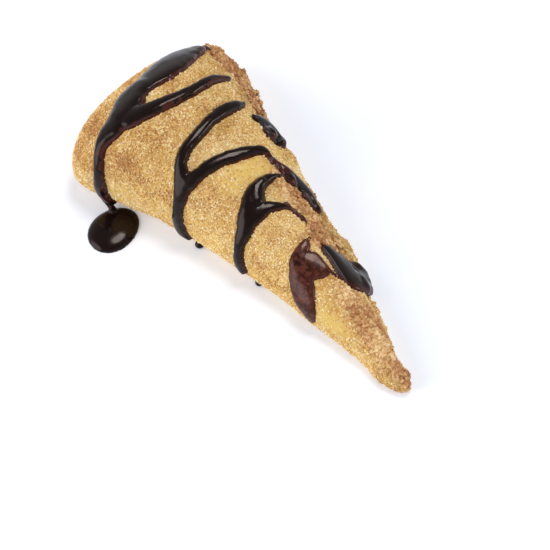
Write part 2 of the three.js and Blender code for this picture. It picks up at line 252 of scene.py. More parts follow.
def make_piece(name: str, points: Array, faces: list[Array],
               shading: Shading = Shading.ROUNDED) -> bpy.types.Object:
    """Makes one mesh object in the scene.

    Args:
        name: The piece's name.
        points: Its points in mm from the wide end.
        faces: Blocks of faces, each with one row a face.
        shading: Whether the faces run into each other.

    Returns:
        The new object, at the origin, with its place in the mesh.
    """
    mesh = bpy.data.meshes.new(name)
    mesh.vertices.add(len(points))
    set_points(mesh, points)
    corners = np.concatenate([block.ravel() for block in faces]).astype(np.int32)
    counts = np.concatenate([np.full(len(block), block.shape[1]) for block in faces])
    mesh.loops.add(len(corners))
    mesh.loops.foreach_set("vertex_index", corners)
    mesh.polygons.add(len(counts))
    starts = np.concatenate([[0], np.cumsum(counts)[:-1]]).astype(np.int32)
    mesh.polygons.foreach_set("loop_start", starts)
    mesh.polygons.foreach_set("use_smooth", np.full(len(counts), shading.value))
    mesh.update(calc_edges=True)
    mesh.validate()
    return new_object(name, mesh)


def write_field(piece: bpy.types.Object, name: str, values: Array) -> None:
    """Keeps one number for each point of a piece, for its material."""
    layer = piece.data.attributes.new(name, "FLOAT", "POINT")
    layer.data.foreach_set("value", np.asarray(values, np.float32).ravel())


def grid_faces(rows: int, columns: int) -> Array:
    """The four corners of each cell of a grid of rings that closes round.

    Args:
        rows: How many rings.
        columns: How many points a ring.

    Returns:
        Corners by ring, column and four, facing outwards.
    """
    index = np.arange(rows * columns).reshape(rows, columns)
    far = np.roll(index, -1, axis=1)
    return np.stack([index[:-1], index[1:], far[1:], far[:-1]], -1)


# ------------------------ node materials


@dataclass(frozen=True)
class Pattern:
    """A mottling of a material: its size in mm, its detail, and which values count."""

    size: float
    detail: float
    rough: float
    low: float
    high: float


@dataclass(frozen=True)
class Relief:
    """Fine relief of a material, below what the mesh shows: its depth in mm and force."""

    depth: float
    strength: float


class Nodes:
    """A node tree under construction."""

    def __init__(self, tree: bpy.types.NodeTree) -> None:
        """Empties the tree and keeps it."""
        self.tree = tree
        tree.nodes.clear()

    def put(self, socket: Socket, value: object) -> None:
        """Links an output to a socket, or sets the socket's own value.

        Args:
            socket: The input.
            value: An output of another node, or a number or colour.
        """
        if isinstance(value, Socket):
            self.tree.links.new(value, socket)
        else:
            socket.default_value = value

    def add(self, kind: str, output: str | int, inputs: dict[str | int, object],
            **settings: object) -> Socket:
        """Adds a node.

        Args:
            kind: The node's type, without the ShaderNode before it.
            output: Which output is wanted.
            inputs: A value or an output for each input that isn't left alone.
            settings: The node's own options.

        Returns:
            The output.
        """
        node = self.tree.nodes.new("ShaderNode" + kind)
        for name, value in settings.items():
            setattr(node, name, value)
        for key, value in inputs.items():
            self.put(node.inputs[key], value)
        return node.outputs[output]


class Recipe(Nodes):
    """A node material under construction, with short calls for the nodes it uses."""

    MIX_INPUTS = (6, 7)          # the mix node's two colours
    MIX_OUTPUT = 2

    def __init__(self, name: str) -> None:
        """Starts an empty material with one shader.

        Args:
            name: The material's name.
        """
        self.material = bpy.data.materials.new(name)
        self.material.use_nodes = True
        super().__init__(self.material.node_tree)
        shader = self.add("BsdfPrincipled", "BSDF", {})
        self.shader = shader.node
        out = self.tree.nodes.new("ShaderNodeOutputMaterial")
        self.put(out.inputs["Surface"], shader)
        self.place = self.add("TexCoord", "Object", {})

    def set(self, **values: object) -> None:
        """Sets or links sockets of the shader, named with _ for a blank."""
        for name, value in values.items():
            self.put(self.shader.inputs[name.replace("_", " ")], value)

    def noise(self, size: float, detail: float = 2.0, rough: float = 0.5) -> Socket:
        """Noise with lumps of a size in mm."""
        return self.add("TexNoise", "Fac", {"Scale": 1.0 / (size * MM), "Detail": detail,
                                            "Roughness": rough, "Vector": self.place})

    def grains(self, size: float) -> Socket:
        """Packed grains of a size in mm, with one random number from 0 to 1 for each."""
        cells = self.add("TexVoronoi", "Color", {"Scale": 1.0 / (size * MM), "Vector": self.place})
        return self.add("SeparateColor", "Red", {"Color": cells})

    def field(self, name: str) -> Socket:
        """A number kept for each point of the piece."""
        return self.add("Attribute", "Fac", {}, attribute_name=name)

    def spread(self, value: Socket, low: float, high: float, to_low: float = 0.0,
               to_high: float = 1.0) -> Socket:
        """Stretches a range of values onto another, smoothly and clamped."""
        return self.add("MapRange", "Result", {
            "Value": value, "From Min": low, "From Max": high, "To Min": to_low,
            "To Max": to_high}, interpolation_type="SMOOTHSTEP")

    def pattern(self, kind: Pattern, to_low: float = 0.0, to_high: float = 1.0) -> Socket:
        """A mottling, from one number to another."""
        noise = self.noise(kind.size, kind.detail, kind.rough)
        return self.spread(noise, kind.low, kind.high, to_low, to_high)

    def maths(self, kind: str, a: object, b: object) -> Socket:
        """One sum, product or other operation."""
        return self.add("Math", "Value", {0: a, 1: b}, operation=kind)

    def times(self, *factors: object) -> Socket:
        """The product of several numbers or outputs.

        Args:
            factors: What is multiplied.

        Returns:
            The product, or the one factor itself.
        """
        product = factors[0]
        for factor in factors[1:]:
            product = self.maths("MULTIPLY", product, factor)
        return product

    def mix(self, share: object, a: object, b: object) -> Socket:
        """Mixes two colours."""
        return self.add("Mix", self.MIX_OUTPUT, {
            "Factor": share, **dict(zip(self.MIX_INPUTS, (a, b)))}, data_type="RGBA")

    def relief(self, height: Socket, kind: Relief) -> None:
        """Gives the surface fine relief."""
        self.set(Normal=self.add("Bump", "Normal", {
            "Strength": kind.strength, "Distance": kind.depth * MM, "Height": height}))

    def dress(self, piece: bpy.types.Object) -> None:
        """Gives the material to a piece."""
        piece.data.materials.clear()
        piece.data.materials.append(self.material)


def srgb(red: float, green: float, blue: float) -> Colour:
    """Turns a colour named in 0 to 255 display values into the shader's linear colour.

    Args:
        red: Its red.
        green: Its green.
        blue: Its blue.

    Returns:
        The linear colour, fully opaque.
    """
    brightest, straight_to, slope, offset, power = 255.0, 0.04045, 12.92, 0.055, 2.4
    linear = []
    for value in (red, green, blue):
        v = value / brightest
        curved = ((v + offset) / (1.0 + offset)) ** power
        linear.append(v / slope if v <= straight_to else curved)
    return (*linear, 1.0)


@dataclass(frozen=True)
class CrustFinish:
    """Fried tortilla under a coat of sugar and cinnamon."""

    golden: Colour = srgb(226, 186, 104)
    ochre: Colour = srgb(210, 164, 88)
    yellow: Colour = srgb(226, 192, 104)
    tan: Colour = srgb(204, 156, 104)
    rose: Colour = srgb(188, 138, 100)
    sugar: Colour = srgb(246, 224, 162)
    cinnamon: Colour = srgb(164, 98, 50)
    spiced: Colour = srgb(200, 146, 88)
    cream: Colour = srgb(244, 224, 178)
    # browns of baked crust, also used for painted shade on the shelf and beside the fold
    toast_and_shade_brown: Colour = srgb(140, 90, 50)
    dark: Colour = srgb(78, 45, 24)
    broad: Pattern = Pattern(9.0, 3.0, 0.5, 0.38, 0.66)
    blotch: Pattern = Pattern(3.6, 3.0, 0.6, 0.48, 0.62)
    frost: Pattern = Pattern(2.3, 3.0, 0.6, 0.52, 0.64)
    char: Pattern = Pattern(1.8, 4.0, 0.6, 0.42, 0.64)
    dull: Pattern = Pattern(1.1, 2.0, 0.5, 0.3, 0.7)
    roughness: tuple[float, float] = (0.62, 0.85)
    shine: float = 0.35
    crumb: float = 1.1           # sizes of grains in the coat, mm
    light_grain: float = 0.62
    brown_grain: float = 0.55
    picked: tuple[float, float] = (0.5, 0.95)   # which of those grains show
    blotched: float = 0.8        # how strongly each colour covers the ones before it
    frosted: float = 0.6
    crumbed: float = 0.85
    bared: float = 0.8
    dusted: float = 0.4
    sugared: float = 0.7
    specked: float = 0.2
    specked_more: float = 0.65   # where there is much cinnamon
    creamed: float = 0.85
    uncoated: float = 0.85       # how much less coat smooth dough has
    grit: Rows = ((0.32, 2.0, 0.6), (0.9, 2.0, 0.5))   # relief: size, detail, roughness
    gritty: Relief = Relief(0.16, 0.8)

    def apply(self, piece: bpy.types.Object) -> None:
        """Dresses the crust by five fields: baked brown with painted shade, smooth dough with
        painted light on the lower flank, spice, rosy crumb and pale sugar.

        Args:
            piece: The crust.
        """
        recipe = Recipe("fried_crust")
        # The first field darkens for baked brown and for painted shade; the second lightens for
        # smooth dough and for painted light on the lower flank.
        toast_and_shade, sleek_and_lit, spice, rosy, pale = (
            recipe.field(name) for name in ("toast_and_shade", "sleek_and_lit", "spice", "rosy", "pale"))
        light, brown = (recipe.spread(recipe.grains(size), *self.picked)
                        for size in (self.light_grain, self.brown_grain))
        coat = recipe.maths("SUBTRACT", 1.0, recipe.times(sleek_and_lit, self.uncoated))
        flecks = recipe.maths("ADD", self.specked, recipe.times(spice, self.specked_more))
        layers = (
            (self.tan, recipe.pattern(self.blotch), self.blotched),
            (self.sugar, recipe.pattern(self.frost), self.frosted),
            (recipe.mix(recipe.grains(self.crumb), self.tan, self.rose), rosy, self.crumbed),
            # smooth yellow dough, and on the lower flank painted light
            (self.yellow, sleek_and_lit, self.bared),
            (self.spiced, spice, self.dusted),
            (self.sugar, light, coat, self.sugared),
            (self.cinnamon, brown, flecks, coat),
            (self.cream, pale, self.creamed),
            (recipe.mix(recipe.pattern(self.char), self.toast_and_shade_brown, self.dark), toast_and_shade),
        )
        colour = recipe.mix(recipe.pattern(self.broad), self.golden, self.ochre)
        for cover, *shares in layers:
            colour = recipe.mix(recipe.times(*shares), colour, cover)
        recipe.set(Base_Color=colour, Specular_IOR_Level=self.shine,
                   Roughness=recipe.pattern(self.dull, *self.roughness))
        recipe.relief(recipe.maths("ADD", *(recipe.noise(*row) for row in self.grit)),
                      self.gritty)
        recipe.dress(piece)


@dataclass(frozen=True)
class SauceFinish:
    """Thick chocolate sauce, nearly black, reddish where it is thin."""

    deep: Colour = srgb(20, 10, 9)
    brown: Colour = srgb(70, 32, 24)
    russet: Colour = srgb(92, 48, 37)
    thin: Colour = srgb(66, 30, 26)
    uneven_size: float = 2.2
    uneven_detail: float = 3.0
    uneven: float = 0.3          # how far the depth that is read wanders, mm
    deepening: tuple[float, float] = (0.3, 0.8)   # depths between brown and deep, mm
    rim: tuple[float, float] = (0.02, 0.22)       # depths where it thins out, mm
    mottle: Pattern = Pattern(1.6, 3.0, 0.6, 0.4, 0.62)
    dull: Pattern = Pattern(4.0, 3.0, 0.5, 0.3, 0.7)
    roughness: tuple[float, float] = (0.12, 0.26)
    shine: float = 0.28
    bend: float = 1.45           # refraction
    shine_tint: Colour = (1.0, 0.82, 0.76, 1.0)
    skin: float = 0.1
    skin_rough: float = 0.05
    wave: float = 1.4
    waved: Relief = Relief(0.05, 0.5)

    def apply(self, piece: bpy.types.Object) -> None:
        """Dresses the sauce by its depth field, in mm, and its sheer field.

        Args:
            piece: The sauce.
        """
        recipe = Recipe("chocolate_sauce")
        wander = recipe.times(recipe.noise(self.uneven_size, self.uneven_detail), self.uneven)
        depth = recipe.maths("ADD", recipe.field("depth"),
                             recipe.maths("SUBTRACT", wander, self.uneven / 2))
        colour = recipe.mix(recipe.spread(depth, *self.deepening), self.brown, self.deep)
        smeared = recipe.times(recipe.field("sheer"), recipe.pattern(self.mottle))
        colour = recipe.mix(smeared, colour, self.russet)
        colour = recipe.mix(recipe.spread(depth, *self.rim), self.thin, colour)
        recipe.set(Base_Color=colour, Specular_IOR_Level=self.shine, IOR=self.bend,
                   Specular_Tint=self.shine_tint, Coat_Weight=self.skin,
                   Coat_Roughness=self.skin_rough,
                   Roughness=recipe.pattern(self.dull, *self.roughness))
        recipe.relief(recipe.noise(self.wave), self.waved)
        recipe.dress(piece)


@dataclass(frozen=True)
class GrainFinish:
    """Crystals or specks, each one a little different in colour."""

    name: str
    light: Colour
    middle: Colour
    deep: Colour
    rough: float
    shine: float
    cloud: float = 0.3           # mottling inside a grain, mm
    clouded: float = 0.2
    to_middle: tuple[float, float] = (0.1, 0.65)   # tones between the colours
    to_deep: tuple[float, float] = (0.6, 1.15)
    dull: Pattern = Pattern(0.5, 1.0, 0.5, 0.3, 0.7)
    rougher: float = 0.15
    facet: tuple[float, float] = (0.12, 1.0)       # relief: size and detail
    faceted: Relief = Relief(0.02, 0.4)

    def apply(self, piece: bpy.types.Object) -> None:
        """Dresses the grains by their tone field.

        Args:
            piece: The grains.
        """
        recipe = Recipe(self.name)
        mottle = recipe.times(recipe.noise(self.cloud), self.clouded)
        tone = recipe.maths("ADD", recipe.field("tone"), mottle)
        colour = recipe.mix(recipe.spread(tone, *self.to_middle), self.light, self.middle)
        colour = recipe.mix(recipe.spread(tone, *self.to_deep), colour, self.deep)
        recipe.set(Base_Color=colour, Specular_IOR_Level=self.shine,
                   Roughness=recipe.pattern(self.dull, self.rough, self.rough + self.rougher))
        recipe.relief(recipe.noise(*self.facet), self.faceted)
        recipe.dress(piece)


@dataclass(frozen=True)
class PaperFinish:
    """The plain pale surface that the pastry lies on."""

    near: Colour = srgb(234, 240, 252)
    far: Colour = srgb(242, 245, 252)
    cloud: Pattern = Pattern(60.0, 2.0, 0.5, 0.3, 0.7)
    rough: float = 0.9
    shine: float = 0.1
    glow: float = 0.24           # lit a little from below

    def apply(self, piece: bpy.types.Object) -> None:
        """Dresses the floor.

        Args:
            piece: The floor.
        """
        recipe = Recipe("pale_floor")
        colour = recipe.mix(recipe.pattern(self.cloud), self.near, self.far)
        recipe.set(Base_Color=colour, Roughness=self.rough, Specular_IOR_Level=self.shine,
                   Emission_Color=colour, Emission_Strength=self.glow)
        recipe.dress(piece)


# ------------------------ the pastry


@dataclass(frozen=True)
class PastryForm:
    """The rolled pastry's outer surface, as a function of place along and round it.

    Sizes are mm and angles degrees, 0 at +Y and 90 on top, as in the solid.
    """

    length: float = 130.0
    start: float = 2.85
    stations: Curve = Curve((   # along, edge at -Y, edge at +Y, height, y of the crest
        (0, -16.9, 25.5, 23.8, 1.3), (12, -25.4, 29.0, 24.8, 1.8), (26, -21.1, 28.0, 27.5, 2.4),
        (44, -13.1, 24.5, 24.5, 5.4), (64, -7.2, 21.0, 20.0, 9.0), (84, -2.4, 17.9, 15.5, 11.0),
        (94, -1.0, 19.1, 13.4, 11.1), (104, 1.1, 16.6, 11.5, 10.6), (114, 3.0, 13.9, 9.6, 9.6),
        (122, 3.6, 11.2, 8.0, 8.4), (130, 6.2, 10.5, 6.0, 8.5)))
    skew: float = 0.18
    skew_end: float = 60.0
    skew_mid: float = 5.0
    end_round: float = 9.9
    end_power: float = 3.4
    end_round_up: float = 20.7
    end_power_up: float = 2.27
    tip_round: float = 5.0
    core_level: float = 0.42
    base_drop: float = 0.8
    top_shape: float = 2.25
    base_shape: float = 3.2
    slope_shape: Curve = Curve(((0, 1.75), (14, 2.15), (44, 2.3), (60, 2.8), (76, 2.4), (90, 1.75),
                                (104, 1.6), (130, 1.8)))
    full_height: float = 28.0
    wrap: float = 2.0
    wrap_least: float = 0.3      # share of it that is left where the pastry is thin
    ridge: Curve = Curve(((0, 20), (32, 22), (42, 29), (49, 39), (56, 45), (68, 44), (78, 40),
                          (92, 34), (130, 30)))
    ridge_fade: float = 76.0
    ridge_gone: float = 98.0
    step: float = 4.0            # sharper than in the solid, whose faces are coarser
    shelf_run: Curve = Curve(((0, 4.7), (12, 5.1), (22, 4.9), (30, 3.7), (37, 2.9), (43, 4.5),
                              (50, 5.1), (57, 3.9), (64, 4.3), (72, 4.5), (80, 4.9), (86, 5.0),
                              (92, 3.1), (98, 1.1), (104, 0.0), (130, 0.0)))
    shelf_at: float = -2.0
    shelf_spread: float = 12.0
    crevice: float = 1.6
    crevice_below: float = 9.0
    crevice_spread: float = 7.0
    crevice_from: float = 48.0
    crevice_to: float = 88.0
    crevice_run: float = 12.0
    fold: float = 0.9
    fold_line: Curve = Curve(((50, 48), (61, 63), (70, 78), (84, 86), (110, 90)))
    fold_from: float = 54.0
    fold_to: float = 112.0
    fold_rise: float = 10.0
    fold_fall: float = 16.0
    fold_foot: float = -20.0
    fold_slope: float = 30.0
    crust: float = 0.28          # gentle unevenness everywhere
    broad: float = 13.0
    broad_shift: float = 5.0
    crag: float = 1.1            # crags of the shelf and of the tip's top
    flake: float = 4.2
    flake_shift: float = 9.0
    finer: float = 0.5
    rough_below: float = 18.0
    rough_spread: float = 20.0
    rough_fade: float = 30.0
    tip_from: float = 100.0
    tip_run: float = 18.0
    tip_at: float = 75.0
    tip_spread: float = 60.0
    tip_crag: float = 0.75
    end_calm: float = 1.2

    def core(self, s: Array, deg: Array) -> tuple[Array, ...]:
        """The plain section without wrap, shelf or relief.

        Args:
            s: Places along the pastry.
            deg: Girth angles.

        Returns:
            Crest line, axis level, height, radius, and the angle's cosine and sine.
        """
        left, right, high, mid = (self.stations.at(s, column) for column in (1, 2, 3, 4))
        level = self.core_level * high
        c, n = np.cos(np.radians(deg)), np.sin(np.radians(deg))
        half = np.where(c >= 0, right - mid, mid - left)
        up = np.where(n >= 0, high - level, level + self.base_drop)
        top = np.where(c >= 0, self.slope_shape.at(s), self.top_shape)
        power = np.where(n >= 0, top, self.base_shape)
        r = ((np.abs(c) / half) ** power + (np.abs(n) / up) ** power) ** (-1.0 / power)
        return mid, level, high, r, c, n

    def end_share(self, s: Array, round_off: float, power: float) -> Array:
        """Works out how much of the full section is left in the rounded ends.

        Args:
            s: Places along the pastry.
            round_off: How far the wide end's rounding goes.
            power: How blunt it is.

        Returns:
            The share at each place, 0 to 1.
        """
        wide = np.maximum(0, 1 - np.clip(1 - s / round_off, 0, 1) ** power) ** (1 / power)
        past = np.clip((s - self.length + self.tip_round) / self.tip_round, 0, 1)
        return np.where(s < round_off, wide, np.sqrt(np.maximum(0, 1 - past ** 2)))

    def under_ridge(self, s: Array, side: Array) -> Array:
        """1 on the rough shelf of layers under the wrap's edge, 0 away from it."""
        under = side - self.ridge.at(s) + self.rough_below
        return bump(under, self.rough_spread) * np.clip((self.length - s) / self.rough_fade, 0, 1)

    def on_tip(self, s: Array, side: Array) -> Array:
        """1 on the rough top of the flat tip, 0 away from it."""
        return smooth((s - self.tip_from) / self.tip_run) * bump(side - self.tip_at,
                                                                 self.tip_spread)

    def relief(self, s: Array, side: Array, points: Array) -> Array:
        """Works out the solid's own unevenness.

        Args:
            s: Places along the pastry.
            side: Girth angles between -180 and 180.
            points: The same places as points in mm.

        Returns:
            The relief in mm outwards.
        """
        coarse = Lumps.at(points, self.flake)
        coarse = coarse + self.finer * Lumps.at(points, self.flake * self.finer, self.flake_shift)
        rough = np.maximum(self.under_ridge(s, side), self.tip_crag * self.on_tip(s, side))
        broad = Lumps.at(points, self.broad, self.broad_shift)
        return self.crust * broad + self.crag * rough * coarse

    def at(self, s: Array, deg: Array) -> Array:
        """Points of the surface.

        Args:
            s: Places along the pastry.
            deg: Girth angles.

        Returns:
            Points in mm from the wide end, three columns.
        """
        mid, level, high, r, c, n = self.core(s, deg)
        fade = np.clip(high / self.full_height, self.wrap_least, 1)
        ridge = self.ridge.at(s)
        turn = (deg - ridge) % FULL_TURN
        side = wrapped(deg)
        edge = 1 - smooth((s - self.ridge_fade) / (self.ridge_gone - self.ridge_fade))
        r = r + self.wrap * fade * edge * (1 - turn / FULL_TURN) * smooth(turn / self.step)
        r = r + self.shelf_run.at(s) * bump(side - self.shelf_at, self.shelf_spread)
        groove = (smooth((s - self.crevice_from) / self.crevice_run)
                  * smooth((self.crevice_to - s) / self.crevice_run))
        r = r - self.crevice * groove * bump(side - ridge + self.crevice_below,
                                             self.crevice_spread)
        fold = (smooth((s - self.fold_from) / self.fold_rise)
                * smooth((self.fold_to - s) / self.fold_fall))
        r = r - (self.fold * fold * smooth((self.fold_line.at(s) - side) / self.step)
                 * smooth((side - self.fold_foot) / self.fold_slope))
        wide = self.end_share(s, self.end_round, self.end_power)
        tall = np.where(s < self.end_round_up,
                        self.end_share(s, self.end_round_up, self.end_power_up), wide)
        place = np.stack([s, mid + r * c, r * n], -1)
        r = r + self.relief(s, side, place) * np.minimum(1, wide * self.end_calm)
        y = mid + r * c * wide
        z = np.maximum(0, level + r * n * tall)
        x = (self.start + s * (self.length - self.start) / self.length
             + self.skew * np.clip(1 - s / self.skew_end, 0, 1) * (self.skew_mid - y))
        return np.stack([x, y, z], -1)


@dataclass
class Crust:
    """The pastry itself: one closed skin with the fine relief that the solid leaves out."""

    form: PastryForm = field(default_factory=PastryForm)
    pitch: float = 0.45
    end_rings: int = 14
    tip_rings: int = 12
    steps: Rows = ((-22.0, 62.0, 0.6), (62.0, 192.0, 0.85), (192.0, 338.0, 2.4))
    sleek_and_lit: Patches = (   # smooth dough with little sugar on it; the patches on the lower flank (girth 168 to 184) are also painted light, lightening that side as if lit from the front-left
        Patch(60, 184, 50, 14, 0.6), Patch(55.5, 92, 5, 36, 1.0), Patch(102, 160, 8, 26, 1.0),
        Patch(31, 176, 8, 15, 0.6), Patch(50, 28, 5, 24, 0.8), Patch(104, 45, 5, 18, 0.5),
        Patch(56, 168, 6, 16, 0.4))
    spice: Patches = (   # much cinnamon in the sugar
        Patch(31, 112, 6, 22, 1.0), Patch(29, 146, 6, 16, 0.9), Patch(42, 84, 4, 18, 0.4),
        Patch(8, 150, 10, 26, 0.8), Patch(55, 142, 5, 16, 0.6), Patch(20, 62, 5, 18, 0.4),
        Patch(76, 128, 6, 20, 0.15), Patch(116, 100, 16, 44, 0.35))
    rosy: Patches = (    # coarse pinkish crumb
        Patch(118, 92, 17, 36, 1.0), Patch(101, 100, 9, 22, 0.6), Patch(66, 66, 6, 11, 1.0),
        Patch(80, 52, 6, 26, 0.8), Patch(16, 8, 12, 12, 0.4))
    browned_and_shaded: Patches = (  # baked darkest; on the shelf under the wrap's edge and beside the fold and its crevice the darkening is also painted shade
        Patch(32, 8, 15, 18, 1.8), Patch(13, 7, 12, 14, 1.1), Patch(82, 34, 8, 30, 1.3),
        Patch(66, 59, 6, 8, 1.1), Patch(68, 18, 9, 22, 1.5), Patch(83, 76, 4.5, 9, 1.2),
        Patch(128, 80, 6, 80, 0.62), Patch(114, 66, 3, 12, 0.5), Patch(2, 150, 4, 40, 0.4),
        Patch(97, 74, 4, 8, 0.3))
    pale: Patches = (    # frosted with sugar
        Patch(57, 12, 3.5, 12, 0.9), Patch(87, 93, 6, 3.5, 0.9), Patch(97, 90, 4, 4, 0.5),
        Patch(75, 84, 6, 4, 0.6), Patch(44, 100, 5, 26, 0.35), Patch(77, 112, 5, 22, 0.3),
        Patch(112, 84, 8, 20, 0.25))
    flap: Patch = Patch(51.5, 26, 6.5, 30, 1.0)   # the free edge of the dough, smooth
    flap_smooth: float = 0.8
    dents: Patches = (Patch(43, 3, 5, 12, 1.2),)    # where thick sauce weighs on it
    swells: Patches = (Patch(82.5, 4, 3.5, 12, 1.1),)
    inset: float = 0.45          # room for the grains, so that they reach the outline
    inset_from: float = 2.5      # height above the floor where it is full
    end_fade: float = 3.0
    clear_from: float = 0.35     # how far under the sauce's rim the relief ends
    clear_run: float = 0.4
    ragged: Ripples = (Ripple(0.12, 3.0, 5.0), Ripple(0.08, 1.2, 2.0))   # patches' edges
    ragged_rise: float = 4.0
    coat: Ripples = (Ripple(0.09, 0.95), Ripple(0.06, 0.55, 3.0))
    coat_sleek: float = 0.75     # how much less of it smooth dough has
    blister: Ripples = (Ripple(0.14, 3.1, 7.0), Ripple(0.10, 1.9, 11.0))
    blister_sleek: float = 0.6
    ridges: Ripple = Ripple(1.0, 2.4, 2.0)       # sharp-topped crags of the shelf
    ridged: float = 0.5
    crags: Ripples = (Ripple(0.42, 1.25, 5.0), Ripple(0.2, 0.7))
    leaf: float = 1.5            # height of a leaf of dough
    leaf_wave: Ripple = Ripple(0.9, 6.0, 4.0)
    leafed: float = 0.45
    tip_crags: Ripples = (Ripple(0.34, 1.6, 8.0), Ripple(0.2, 0.9, 1.0))
    streak_stretch: tuple[float, float, float] = (0.28, 1.0, 1.0)
    streaks: Ripple = Ripple(0.5, 1.3, 3.0)
    streaked: tuple[float, float] = (0.5, 0.9)   # brown without and from streaks
    spots: Ripple = Ripple(1.6, 2.3, 6.0)
    spots_from: float = 0.2
    spotted: float = 0.35
    most_toast_and_shade: float = 0.95

    def rings(self) -> Array:
        """Places the mesh's rings.

        Returns:
            Where they are along the pastry, without its two ends.
        """
        form = self.form
        head = form.end_round * (np.arange(1, self.end_rings + 1) / self.end_rings) ** 2
        straight = form.length - form.tip_round - form.end_round
        count = round(straight / self.pitch)
        middle = form.end_round + straight * np.arange(1, count + 1) / count
        turn = np.arange(1, self.tip_rings + 1) / (self.tip_rings + 1) * math.pi / 2
        tail = form.length - form.tip_round + form.tip_round * np.sin(turn)
        return np.concatenate([head, middle, tail])

    def angles(self) -> Array:
        """Girth angles of the mesh's columns, close together on the rough side."""
        return np.concatenate([np.linspace(a, b, round((b - a) / step), endpoint=False)
                               for a, b, step in self.steps])

    def fine_relief(self, s: Array, side: Array, points: Array) -> Array:
        """Works out crags, blisters and grain that show on the real crust.

        Args:
            s: Places along the pastry.
            side: Girth angles between -180 and 180.
            points: The same places as points in mm.

        Returns:
            The relief in mm outwards.
        """
        form = self.form
        sleek_and_lit = patched(self.sleek_and_lit, s, side)
        coat = rippled(self.coat, points) * (1 - self.coat_sleek * sleek_and_lit)
        blister = rippled(self.blister, points) * (1 - self.blister_sleek * sleek_and_lit)
        shelf = form.under_ridge(s, side) * (1 - self.flap_smooth * self.flap.at(s, side))
        sharp = self.ridged * (1.0 - 2.0 * np.abs(self.ridges.at(points)))
        crag = rippled(self.crags, points, sharp)
        leaf = (points[..., 2] / self.leaf + self.leaf_wave.at(points)) % 1.0
        rough = shelf * (crag + self.leafed * (leaf - 0.5))
        tip = form.on_tip(s, side) * rippled(self.tip_crags, points)
        return coat + blister + rough + tip

    def toast_and_shade(self, s: Array, side: Array, points: Array) -> Array:
        """Works out how brown it is baked, together with painted shade on the shelf and beside the
        fold: streaks along the layers, spots on the tip.

        Args:
            s: Places along the pastry.
            side: Girth angles between -180 and 180.
            points: The same places as points in mm.

        Returns:
            The brownness with its painted shade, from 0 to nearly 1.
        """
        streak = 0.5 + self.streaks.at(points * self.streak_stretch)
        spots = smooth(self.spots.at(points) - self.spots_from) * self.form.on_tip(s, side)
        plain, more = self.streaked
        # darker on the listed patches, for baked brown and for painted shade on the shelf and
        # beside the fold
        brown = patched(self.browned_and_shaded, s, side) * (plain + more * streak)
        brown = brown * (1 - self.flap_smooth * self.flap.at(s, side))
        return np.clip(brown + self.spotted * spots, 0, self.most_toast_and_shade)

    def lay_out(self) -> None:
        """Works out the plain surface that the crust and the sauce both follow."""
        self.along, deg = np.meshgrid(self.rings(), self.angles(), indexing="ij")
        self.around = wrapped(deg)
        self.base = self.form.at(self.along, deg)
        self.unevenness = self.form.relief(self.along, self.around, self.base)
        self.outward = grid_normals(self.base)

    def skin(self, covered: Array) -> Skin:
        """Works out the skin from the plain surface.

        Args:
            covered: The sauce's height at each point of the plain surface.

        Returns:
            Points in mm, the two ends last, and blocks of faces.
        """
        s, side, base = self.along, self.around, self.base
        bare = 1 - smooth((covered.reshape(s.shape) + self.clear_from) / self.clear_run)
        high = self.fine_relief(s, side, base) * np.minimum(1, s / self.end_fade) * bare
        high = high - self.inset * smooth(base[..., 2] / self.inset_from)
        high = high + patched(self.swells, s, side) - patched(self.dents, s, side)
        points = base + self.outward * high[..., None]
        points[..., 2] = np.maximum(points[..., 2], 0.0)
        poles = self.form.at(np.array([0.0, self.form.length]), np.zeros(2))
        return close_rings(points, *poles)

    def build(self, covered: Array) -> bpy.types.Object:
        """Builds the skin and keeps its fields for the material and the grains.

        Args:
            covered: The sauce's height at each point of the plain surface.

        Returns:
            The dressed piece.
        """
        s, side, base = self.along, self.around, self.base
        self.points, faces = self.skin(covered)
        self.quads = faces[0]
        piece = make_piece("pastry_crust", self.points, faces)
        fields = {"toast_and_shade": self.toast_and_shade(s, side, base)}
        edge = rippled(self.ragged, base)
        for name, patches in (("sleek_and_lit", self.sleek_and_lit), ("spice", self.spice),
                              ("rosy", self.rosy), ("pale", self.pale)):
            amount = patched(patches, s, side)
            ragged = edge * np.minimum(1, self.ragged_rise * amount)
            fields[name] = np.clip(amount + ragged, 0, 1)
        self.fields = {name: np.concatenate([values.ravel(), [values[0].mean(),
                                                              values[-1].mean()]])
                       for name, values in fields.items()}
        for name, values in self.fields.items():
            write_field(piece, name, values)
        CrustFinish().apply(piece)
        return piece


def grid_normals(points: Array) -> Array:
    """Outward directions of a closed-round grid of rings.

    Args:
        points: Rings by columns by three.

    Returns:
        Unit vectors, in the same arrangement.
    """
    along = np.gradient(points, axis=0)
    round_it = np.roll(points, -1, axis=1) - np.roll(points, 1, axis=1)
    normal = np.cross(round_it, along)
    return normal / np.maximum(np.linalg.norm(normal, axis=-1, keepdims=True), TINY)


def close_rings(rings: Array, first: Array, last: Array) -> Skin:
    """Closes a row of equal rings into a skin with a point at each end.

    Args:
        rings: Rings by columns by three.
        first: The point that closes the first ring.
        last: The point that closes the last ring.

    Returns:
        Points in mm and blocks of faces, the rings' own block first.
    """
    rows, columns = rings.shape[:2]
    index = np.arange(rows * columns).reshape(rows, columns)
    far = np.roll(index, -1, axis=1)
    head, tail = index.size, index.size + 1
    caps = [np.stack([np.full(columns, head), index[0], far[0]], -1),
            np.stack([far[-1], index[-1], np.full(columns, tail)], -1)]
    points = np.concatenate([rings.reshape(-1, 3), [first, last]])
    return points, [grid_faces(rows, columns).reshape(-1, 4), *caps]


# ------------------------ the sauce


